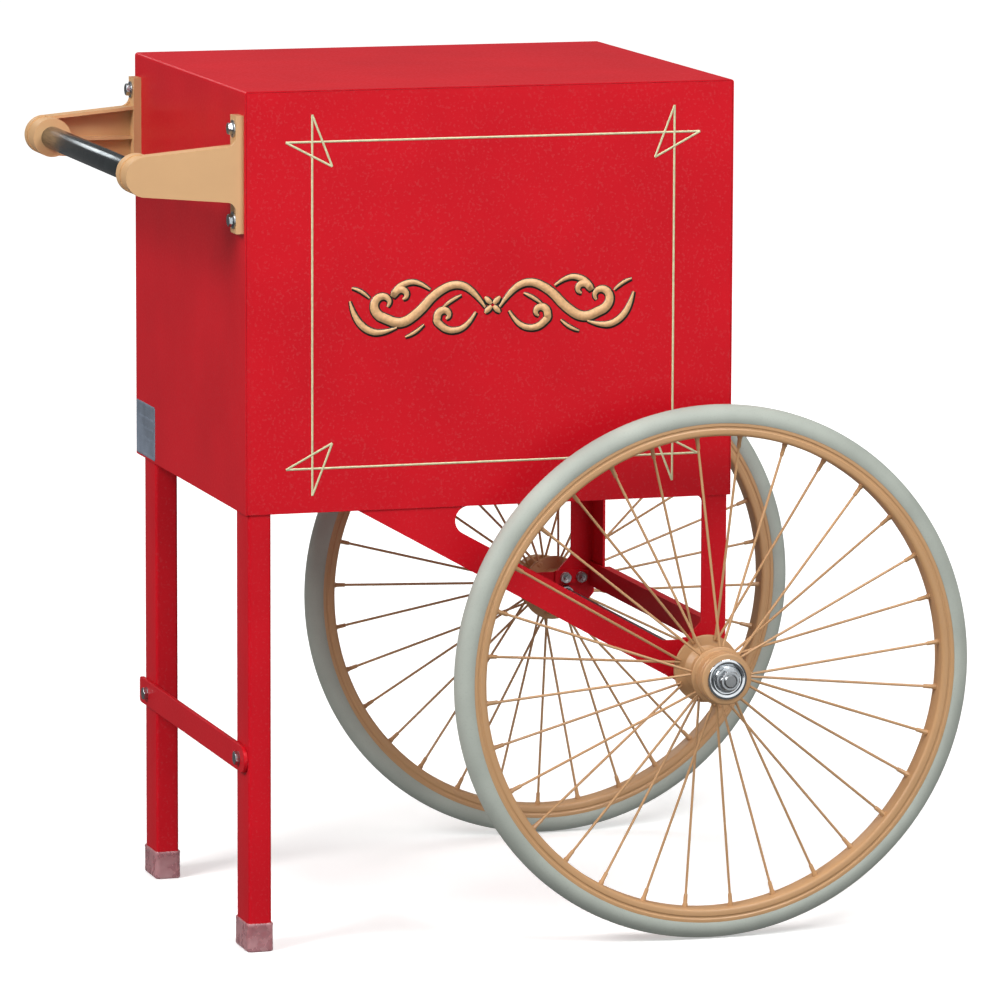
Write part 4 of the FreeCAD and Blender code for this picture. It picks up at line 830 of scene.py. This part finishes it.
def build_bolts():
    """Every hex bolt and nut of the cart, stood on the faces that they clamp."""
    left = Vector((-1, 0, 0))
    right = Vector((1, 0, 0))
    bolts = (
        ("leg_bolts", 5.8, 4, 3, right),
        ("bracket_bolts", 5.8, 4, 3, None),
        ("axle_beam_bolts", 5.8, 4, 3, None),
        ("brace_bolts", 6.5, 4.5, 4, left),
        ("handle_bolts", 6.0, 4.2, 3, left),
    )
    for seed, (node, corner, high, shank, direction) in enumerate(bolts):
        places = []
        long = 0
        for low, top in loose_solids(node):
            at = (low + top) / 2
            facing = direction or Vector((0, -1 if at.y > 0 else 1, 0))
            axis = max(range(3), key=lambda i: abs(facing[i]))
            end = top[axis] if facing[axis] > 0 else low[axis]
            at[axis] = end - facing[axis] * high * MM
            places.append((at, facing))
            long = (top - low)[axis] - high * MM
        bolt = bolt_mesh(corner * MM, high * MM, shank * MM, long)
        stand_on(node + "_threaded", bolt, places, "zinc", [node], seed + 1)
    for seed, node in enumerate(("axle_beam_nuts", "handle_nuts")):
        places = []
        for low, top in loose_solids(node):
            at = (low + top) / 2
            facing = right
            if node == "axle_beam_nuts":
                facing = Vector((0, 1 if at.y > 0 else -1, 0))
            axis = max(range(3), key=lambda i: abs(facing[i]))
            at[axis] = low[axis] if facing[axis] > 0 else top[axis]
            places.append((at, facing))
        nut = hexagon_solid("nut", 5.8 * MM, 5 * MM, 0.6 * MM, 3 * MM)
        stand_on(node + "_chamfered", nut, places, "zinc", [node], seed + 11)


def build_axle():
    """Axle rod with threaded ends, its spacers, washers and chamfered nuts."""
    low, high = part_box("axle_rod")
    centre = JOINT_AT["near_wheel_spin"].copy()
    centre.y = 0
    radius = (high.z - low.z) / 2
    half = high.y
    profile = [(0, half), (radius - 1.2 * MM, half), (radius - 0.2 * MM, half - 1 * MM)]
    pitch = 1.3 * MM
    for turn in range(12):
        out = half - 1 * MM - turn * pitch
        profile += [(radius, out - pitch * 0.4), (radius - 0.5 * MM, out - pitch * 0.9)]
    profile.append((radius, half - 18 * MM))
    whole = profile + [(r, -out) for r, out in reversed(profile)]
    finish_piece("axle_threaded_rod", lathe("axle", whole, centre, 48, False, 1), "steel", ["axle_rod"])
    for node, seed in (("axle_inner_nuts", 21), ("axle_end_nuts", 22)):
        places = []
        size = None
        for start, end in loose_solids(node):
            at = (start + end) / 2
            outward = 1 if at.y > 0 else -1
            facing = Vector((0, outward if node == "axle_end_nuts" else -outward, 0))
            at.y = start.y if facing.y > 0 else end.y
            places.append((at, facing))
            size = end - start
        corner = max(size.x, size.z) / 2
        stand_on(node + "_chamfered", hexagon_solid("nut", corner, size.y, 1.1 * MM, radius - 0.1 * MM),
                 places, "zinc", [node], seed)
    for node, edge in (("axle_spacers", 0.5), ("axle_washers", 0.35)):
        made = []
        for start, end in loose_solids(node):
            outer = (end.z - start.z) / 2
            corners = [(radius, start.y), (outer, start.y), (outer, end.y), (radius, end.y)]
            profile = [tuple(p) for p in rounded(corners, [0, edge * MM, edge * MM, 0], 3)]
            made.append(lathe("ring", profile, centre, 64, True, 1))
        slot = "steel" if node == "axle_spacers" else "zinc"
        finish_piece(node + "_turned", join_meshes(node, made), slot, [node])


# ---------------------------------------------------------------- cabinet, brackets, legs and handle
SHEETS = ("cabinet_shell", "front_panel", "floor_pan", "rear_left_stile", "rear_right_stile", "rear_sill",
          "rear_header")
PLATES = ("near_axle_bracket", "far_axle_bracket", "axle_beam", "leg_brace")
SMALL = ("hinge_frame_leaves", "hinge_pins", "hinge_frame_rivets", "catch_case", "catch_magnet",
         "catch_screws", "handle_washers")
DOOR_SMALL = ("hinge_door_leaves", "hinge_door_rivets", "door_pull", "door_pull_screws", "catch_strike")


def slot_of(node):
    for row in frame["record"]["subparts"]:
        if row["node"] == node:
            return row["material_slot"]
    raise ValueError(f"no slot for {node}")


def soften_nodes(nodes, width, segments, body="cart"):
    for node in nodes:
        finish_piece(node + "_edged", softened(node, width, segments), slot_of(node), [node], body)


def build_sheet_metal(edges):
    """Cabinet, door and floor with rounded sheet edges."""
    soften_nodes(SHEETS, edges.sheet, 2)
    soften_nodes(["door_panel"], edges.plate, 3, "door")


def build_brackets(edges):
    """Axle brackets, cross beam and leg brace with rounded plate edges."""
    soften_nodes(PLATES, edges.plate, 3)


def build_small_parts(edges):
    """Hinges, catch, rivets, washers and the door pull."""
    soften_nodes(SMALL, edges.small, 2)
    soften_nodes(DOOR_SMALL, edges.small, 2, "door")


def build_legs(edges):
    """Seamed rectangular tubes with round corners, and thick dipped vinyl caps on their feet."""
    outer = edges.tube
    inner = max(outer - WALL, 0.6 * MM)
    soft = 0.3 * MM
    for name in SIDES:
        low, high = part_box(f"{name}_leg")
        centre = (low + high) / 2
        half_x = (high.x - low.x) / 2
        half_y = (high.y - low.y) / 2
        wrapped = centre.x - half_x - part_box(f"{name}_foot_cap")[0].x
        rings = []
        for grow, z in (
            (-WALL, low.z + 2 * WALL), (-WALL, low.z + soft), (-WALL + soft, low.z), (-soft, low.z),
            (0, low.z + soft), (0, high.z - soft), (-soft, high.z), (-WALL + soft, high.z),
            (-WALL, high.z - soft), (-WALL, low.z + 3 * WALL),
        ):
            radius = outer if grow > -WALL / 2 else inner
            rings.append(rounded_box_loop(centre, half_x + grow, half_y + grow, radius, z))
        finish_piece(f"{name}_leg_tube", ring_solid("leg", rings), "red_paint", [f"{name}_leg"])
        low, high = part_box(f"{name}_foot_cap")
        rings = []
        for grow, z in (
            (wrapped - 3 * MM, low.z), (wrapped - 1.2 * MM, low.z + 0.25 * MM),
            (wrapped - soft, low.z + 1 * MM), (wrapped, low.z + 2.2 * MM),
            (wrapped - 0.25 * MM, low.z + 6 * MM), (wrapped - 0.25 * MM, high.z - 3 * MM),
            (wrapped, high.z - 2.2 * MM), (wrapped, high.z - 0.8 * MM), (wrapped - 0.5 * MM, high.z),
            (0.5 * MM, high.z), (0.05 * MM, high.z - 0.6 * MM), (0.05 * MM, low.z + 4 * MM),
        ):
            radius = max(outer + grow, 1 * MM)
            rings.append(rounded_box_loop(centre, half_x + grow, half_y + grow, radius, z))
        finish_piece(f"{name}_vinyl_cap", tube_rings("cap", rings), "vinyl", [f"{name}_foot_cap"])


def build_handle(edges):
    """Moulded handle brackets and the plated bar between them."""
    soften_nodes(("near_handle_bracket", "far_handle_bracket"), edges.moulding, 3)
    low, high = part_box("handle_bar")
    centre = (low + high) / 2
    outer = (high.z - low.z) / 2
    half = (high.y - low.y) / 2
    corners = [(outer - WALL, -half), (outer, -half), (outer, half), (outer - WALL, half)]
    profile = [tuple(p) for p in rounded(corners, 0.5 * MM, 3)]
    finish_piece("handle_plated_bar", lathe("bar", profile, centre, 72, True, 1), "grip_tube", ["handle_bar"])


# ---------------------------------------------------------------- decoration
def panel_mesh(name, lines, tree, extra, material, lift, rise, step=1.5 * MM):
    """Paint lines given as (points, half widths) in the panel's plane, in metres, X across and Y up."""
    curve = bpy.data.curves.new(name, "CURVE")
    curve.dimensions = "3D"
    for level, (points, widths, smooth_line) in enumerate(lines):
        spline = curve.splines.new("NURBS" if smooth_line else "POLY")
        spline.points.add(len(points) - 1)
        for index, (x, y) in enumerate(points):
            spline.points[index].co = (x, y, level * rise, 1)
            spline.points[index].radius = widths[index]
        if smooth_line:
            spline.order_u = 3
            spline.use_endpoint_u = True
            spline.resolution_u = 8
    mesh = apply_tree(name, new_object(name, curve), tree, {
        "Extra width": extra, "Thickness": 0.03, "Step": step, "Material": MATERIALS[material]})
    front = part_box("front_panel")[0].y
    mesh.transform(Matrix(((1, 0, 0, 0), (0, 0, -1, front - lift), (0, 1, 0, 0), (0, 0, 0, 1))))
    return mesh


def build_stripes(decor):
    """Pinstriped frame whose lines cross at the corners and close into stars."""
    low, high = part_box("cabinet_shell")
    left = low.x + decor.inset_left
    right = high.x - decor.inset_right
    top = high.z - decor.inset_top
    bottom = low.z + decor.inset_low
    half = decor.stripe / 2
    lines = []

    def straight(start, end):
        lines.append(([start, end], [half, half], False))

    for z in (bottom, top):
        straight((left - decor.reach, z), (right + decor.reach, z))
    for x in (left, right):
        straight((x, bottom - decor.reach), (x, top + decor.reach))
    for x, sx in ((left, -1), (right, 1)):
        for z, sz in ((bottom, -1), (top, 1)):
            inner = (x - sx * decor.inner_x, z - sz * decor.inner_z)
            straight((x + sx * decor.reach, z), inner)
            straight((x, z + sz * decor.reach), inner)
    mesh = panel_mesh("pinstripes", lines, ribbon_tree(), 0.0, "stripe", 0.06 * MM, 0.02 * MM, 5 * MM)
    finish_piece("pinstripes", mesh, "red_paint", material="stripe")


def scroll(start, turns, first, last, begin, points=14):
    """Points of a curl about a centre: its radius shrinks as it winds."""
    line = []
    for step in range(points):
        share = step / (points - 1)
        radius = first + (last - first) * share
        angle = begin + turns * 2 * math.pi * share
        line.append((start[0] + radius * math.cos(angle), start[1] + radius * math.sin(angle)))
    return line


def ornament_strokes():
    """Right half of the scrollwork in millimetres: points and half widths of each brush stroke."""
    strokes = []

    def stroke(points, thin, thick, tail=0.5):
        count = len(points)
        widths = []
        for index in range(count):
            share = index / (count - 1)
            widths.append(thin + (thick - thin) * math.sin(math.pi * share ** tail) ** 0.8)
        strokes.append((points, widths))

    stroke([(7, -2), (18, 14), (36, 22), (56, 12), (70, -4), (88, -16), (106, -8)]
           + scroll((104, 4), 0.8, 12, 4, -1.2, 9), 0.9, 4.2, 0.7)
    stroke([(16, -6), (24, -20), (42, -24), (54, -14)] + scroll((46, -9), 0.75, 8, 3, -0.4, 8), 0.8, 3.4, 0.8)
    stroke([(60, 16), (72, 25), (88, 22), (96, 12)] + scroll((87, 11), 0.7, 8, 3, 0.1, 8), 0.8, 3.2, 0.8)
    stroke([(92, -18), (108, -24), (124, -18), (134, -4), (137, 8)], 0.6, 3.0, 0.9)
    stroke([(118, 10), (126, 18), (135, 20)], 0.6, 2.2, 0.8)
    stroke([(30, 10), (40, 6), (48, -1)], 0.5, 2.4, 0.8)
    stroke([(66, -16), (74, -24), (84, -27)], 0.5, 2.2, 0.8)
    return strokes


def build_ornament(decor):
    """Gold scrollwork with a dark outline on the decorated panel: a generic flourish, with no lettering."""
    low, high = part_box("cabinet_shell")
    middle = (low.x + decor.inset_left + decor.centre_x, high.z - decor.inset_top - decor.centre_z)
    lines = []
    for points, widths in ornament_strokes():
        for mirror in (-1, 1):
            line = [(middle[0] + mirror * x * MM, middle[1] + y * MM) for x, y in points]
            lines.append((line, [w * MM for w in widths], True))
    for angle in range(4):
        turn = math.pi / 4 + angle * math.pi / 2
        petal = [(middle[0] + r * MM * math.cos(turn), middle[1] + r * MM * math.sin(turn))
                 for r in (1.5, 6, 10.5)]
        lines.append((petal, [1.4 * MM, 3.6 * MM, 0.8 * MM], True))
    tree = ribbon_tree()
    edge = panel_mesh("scroll_outline", lines, tree, 1.3 * MM, "outline", 0.05 * MM, 0.012 * MM)
    edge.transform(Matrix.Translation((0.5 * MM, 0, -0.5 * MM)))
    finish_piece("scroll_outline", edge, "red_paint", material="outline")
    fill = panel_mesh("scroll_gold", lines, tree, 0.0, "gold", 0.38 * MM, 0.012 * MM)
    finish_piece("scroll_gold", fill, "red_paint", material="gold")


def build_data_plate():
    """Blank foil plate with a raised border and three plain ruled lines."""
    low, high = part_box("data_plate")
    centre = (low + high) / 2
    sunk = 0.2 * MM
    loops = []
    half_y = (high.y - low.y) / 2
    half_z = (high.z - low.z) / 2

    def loop(shrink, x, radius):
        corners = [(sy * (half_y - shrink), sz * (half_z - shrink)) for sy, sz in QUADRANTS]
        return [Vector((x, centre.y + y, centre.z + z)) for y, z in rounded(corners, radius, 5)]

    for shrink, x, radius in ((0, high.x, 2.5), (0, low.x + sunk, 2.5), (0.3, low.x, 2.5), (2.2, low.x, 1.5),
                              (2.5, low.x + sunk, 1.4)):
        loops.append(loop(shrink * MM, x, radius * MM))
    plate = tube_rings("plate", loops)
    bars = []
    for level in (12, 2, -8):
        ring_low = []
        ring_high = []
        for y, z in ((-27, level - 1), (27, level - 1), (27, level + 1), (-27, level + 1)):
            ring_low.append(Vector((low.x + sunk, centre.y + y * MM, centre.z + z * MM)))
            ring_high.append(Vector((low.x + 0.08 * MM, centre.y + y * 0.995 * MM, centre.z + z * MM)))
        bars.append(tube_rings("bar", [ring_low, ring_high]))
    finish_piece("blank_data_plate", join_meshes("data_plate", [plate] + bars), "foil", ["data_plate"])


# ---------------------------------------------------------------- stage
def build_stage(stage):
    """Pale floor, plain surrounding light, soft lights and the camera."""
    floor_mesh = bpy.data.meshes.new("floor")
    reach = 60.0
    floor_mesh.from_pydata([(reach * sx, reach * sy, 0) for sx, sy in QUADRANTS], [], [(0, 1, 2, 3)])
    material, tree, shader, place = new_material("pale_floor")
    grain = add(tree, "ShaderNodeTexNoise", {"Vector": place, "Scale": 3.0, "Detail": 2.0})
    tone = add(tree, "ShaderNodeMix", {"Factor": grain.outputs[0], 6: linear("F4F4F3"), 7: linear("F8F8F7")},
               data_type="RGBA")
    tree.links.new(tone.outputs[2], shader.inputs["Base Color"])
    shader.inputs["Roughness"].default_value = 0.9
    shader.inputs["Specular IOR Level"].default_value = 0.1
    away = add(tree, "ShaderNodeVectorMath", {0: place}, operation="LENGTH")
    # The floor's own light grows with distance, so that it meets the backdrop with no visible line.
    near_edge = 1.2
    far_edge = 4.5
    glow = add(tree, "ShaderNodeMapRange", {
        "Value": away.outputs["Value"], 1: near_edge, 2: far_edge, 3: 0.3, 4: 0.75})
    shader.inputs["Emission Color"].default_value = linear("FFFFFF")
    tree.links.new(glow.outputs[0], shader.inputs["Emission Strength"])
    floor_mesh.materials.append(material)
    floor = new_object("floor", floor_mesh)
    floor.visible_glossy = False
    floor.visible_diffuse = False

    world = bpy.data.worlds.new("plain_light")
    bpy.context.scene.world = world
    world.use_nodes = True
    sky = world.node_tree.nodes["Background"]
    sky.inputs["Color"].default_value = (1.0, 1.0, 1.0, 1.0)
    path = add(world.node_tree, "ShaderNodeLightPath")
    seen = add(world.node_tree, "ShaderNodeMix", {"Factor": path.outputs["Is Camera Ray"], 2: stage.sky,
                                                  3: stage.backdrop})
    direction = add(world.node_tree, "ShaderNodeTexCoord").outputs["Generated"]
    height = add(world.node_tree, "ShaderNodeSeparateXYZ", {0: direction}).outputs["Z"]
    # Gloss sees a dim horizon and a bright ceiling, as in a room lit from above.
    overhead = add(world.node_tree, "ShaderNodeMapRange", {
        "Value": height, 1: 0.3, 2: 0.8, 3: stage.mirror, 4: stage.overhead})
    gloss = add(world.node_tree, "ShaderNodeMix", {
        "Factor": path.outputs["Is Glossy Ray"], 2: seen.outputs[0], 3: overhead.outputs[0]})
    world.node_tree.links.new(gloss.outputs[0], sky.inputs["Strength"])

    for name, at, aim, size, power in (
        ("key_light", (0.9, -2.3, 3.1), (0, 0, 0.4), 1.5, stage.key),
        ("fill_light", (-2.8, -1.2, 2.5), (0, 0, 0.4), 1.5, stage.fill),
        ("front_card", (1.3, -5.0, 1.1), (0, 0, 0.4), 4.0, stage.card),
        ("back_light", (0.8, 3.0, 3.0), (0, 0, 0.4), 2.0, stage.back),
        ("bar_highlight", (-0.9, 6.0, 2.7), (-0.4, 0, 0.7), 1.1, stage.strip),
    ):
        lamp = bpy.data.lights.new(name, "AREA")
        lamp.shape = "SQUARE"
        lamp.size = size
        lamp.energy = power
        item = new_object(name, lamp)
        item.location = at
        item.visible_camera = False
        item.visible_glossy = name != "back_light"
        item.rotation_euler = (Vector(aim) - Vector(at)).to_track_quat("-Z", "Y").to_euler()

    lens = bpy.data.cameras.new("view")
    lens.lens = stage.lens
    lens.sensor_width = 36.0
    lens.clip_end = 200.0
    camera = new_object("view", lens)
    look = Vector((math.sin(stage.azimuth) * math.cos(stage.elevation),
                   math.cos(stage.azimuth) * math.cos(stage.elevation), -math.sin(stage.elevation)))
    camera.location = TARGET - look * stage.distance
    aimed = look.to_track_quat("-Z", "Y") @ Quaternion((0, 0, 1), stage.roll)
    camera.rotation_euler = aimed.to_euler()
    bpy.context.scene.camera = camera
    bpy.context.scene.view_settings.view_transform = "Standard"


# ---------------------------------------------------------------- operators and panel
class CART_OT_finishes(bpy.types.Operator):
    """Make every finish of the cart, and give it to the nodes of the frame"""
    bl_idname = "cart.finishes"
    bl_label = "Finishes"

    def execute(self, context):
        MATERIALS.update(make_materials(context.scene.cart_colours))
        for node, item in NODES.items():
            for slot in item.material_slots:
                slot.material = MATERIALS[slot_of(node)]
        return {"FINISHED"}


class CART_OT_sheet_metal(bpy.types.Operator):
    """Cabinet, floor and door with rounded sheet edges"""
    bl_idname = "cart.sheet_metal"
    bl_label = "Sheet metal"

    def execute(self, context):
        build_sheet_metal(context.scene.cart_edges)
        return {"FINISHED"}


class CART_OT_brackets(bpy.types.Operator):
    """Axle brackets, cross beam and leg brace"""
    bl_idname = "cart.brackets"
    bl_label = "Brackets"

    def execute(self, context):
        build_brackets(context.scene.cart_edges)
        return {"FINISHED"}


class CART_OT_small_parts(bpy.types.Operator):
    """Hinges, catch, rivets, washers and door pull"""
    bl_idname = "cart.small_parts"
    bl_label = "Small parts"

    def execute(self, context):
        build_small_parts(context.scene.cart_edges)
        return {"FINISHED"}


class CART_OT_legs(bpy.types.Operator):
    """Leg tubes and their vinyl caps"""
    bl_idname = "cart.legs"
    bl_label = "Legs"

    def execute(self, context):
        build_legs(context.scene.cart_edges)
        return {"FINISHED"}


class CART_OT_handle(bpy.types.Operator):
    """Moulded handle brackets and the bar between them"""
    bl_idname = "cart.handle"
    bl_label = "Handle"

    def execute(self, context):
        build_handle(context.scene.cart_edges)
        return {"FINISHED"}


class CART_OT_wheels(bpy.types.Operator):
    """Tyres, rims, hubs, bearing covers, spokes and nipples"""
    bl_idname = "cart.wheels"
    bl_label = "Wheels"

    def execute(self, context):
        for name in SIDES:
            build_wheel(name, context.scene.cart_wheels)
        return {"FINISHED"}


class CART_OT_axle(bpy.types.Operator):
    """Threaded axle, its spacers, washers and nuts"""
    bl_idname = "cart.axle"
    bl_label = "Axle"

    def execute(self, context):
        build_axle()
        return {"FINISHED"}


class CART_OT_bolts(bpy.types.Operator):
    """Hex bolts and nuts of the cart"""
    bl_idname = "cart.bolts"
    bl_label = "Bolts"

    def execute(self, context):
        build_bolts()
        return {"FINISHED"}


class CART_OT_decoration(bpy.types.Operator):
    """Pinstripes, scrollwork and the blank data plate"""
    bl_idname = "cart.decoration"
    bl_label = "Decoration"

    def execute(self, context):
        build_stripes(context.scene.cart_decoration)
        build_ornament(context.scene.cart_decoration)
        build_data_plate()
        return {"FINISHED"}


class CART_OT_stage(bpy.types.Operator):
    """Pale floor, soft light and camera"""
    bl_idname = "cart.stage"
    bl_label = "Stage"

    def execute(self, context):
        build_stage(context.scene.cart_stage)
        return {"FINISHED"}


OPERATORS = (CART_OT_finishes, CART_OT_sheet_metal, CART_OT_brackets, CART_OT_small_parts, CART_OT_legs,
             CART_OT_handle, CART_OT_wheels, CART_OT_axle, CART_OT_bolts, CART_OT_decoration, CART_OT_stage)
SETTINGS = (("cart_colours", CartColours), ("cart_edges", CartEdges), ("cart_wheels", CartWheels),
            ("cart_decoration", CartDecoration), ("cart_stage", CartStage))


class CART_PT_panel(bpy.types.Panel):
    """Sizes and colours of the cart, and a button for each step"""
    bl_idname = "CART_PT_panel"
    bl_label = "Popcorn cart"
    bl_space_type = "VIEW_3D"
    bl_region_type = "UI"
    bl_category = "Popcorn cart"

    def draw(self, context):
        for name, group in SETTINGS:
            box = self.layout.box()
            for setting in group.__annotations__:
                box.prop(getattr(context.scene, name), setting)
        for operator in OPERATORS:
            self.layout.operator(operator.bl_idname)


def register():
    for group in (*(kind for _, kind in SETTINGS), *OPERATORS, CART_PT_panel):
        bpy.utils.register_class(group)
    for name, kind in SETTINGS:
        setattr(bpy.types.Scene, name, PointerProperty(type=kind))


def unregister():
    for name, _ in SETTINGS:
        delattr(bpy.types.Scene, name)
    for group in reversed((*(kind for _, kind in SETTINGS), *OPERATORS, CART_PT_panel)):
        bpy.utils.unregister_class(group)


def main():
    register()
    for operator in OPERATORS:
        group, name = operator.bl_idname.split(".")
        getattr(getattr(bpy.ops, group), name)()


if __name__ == "__main__":
    main()
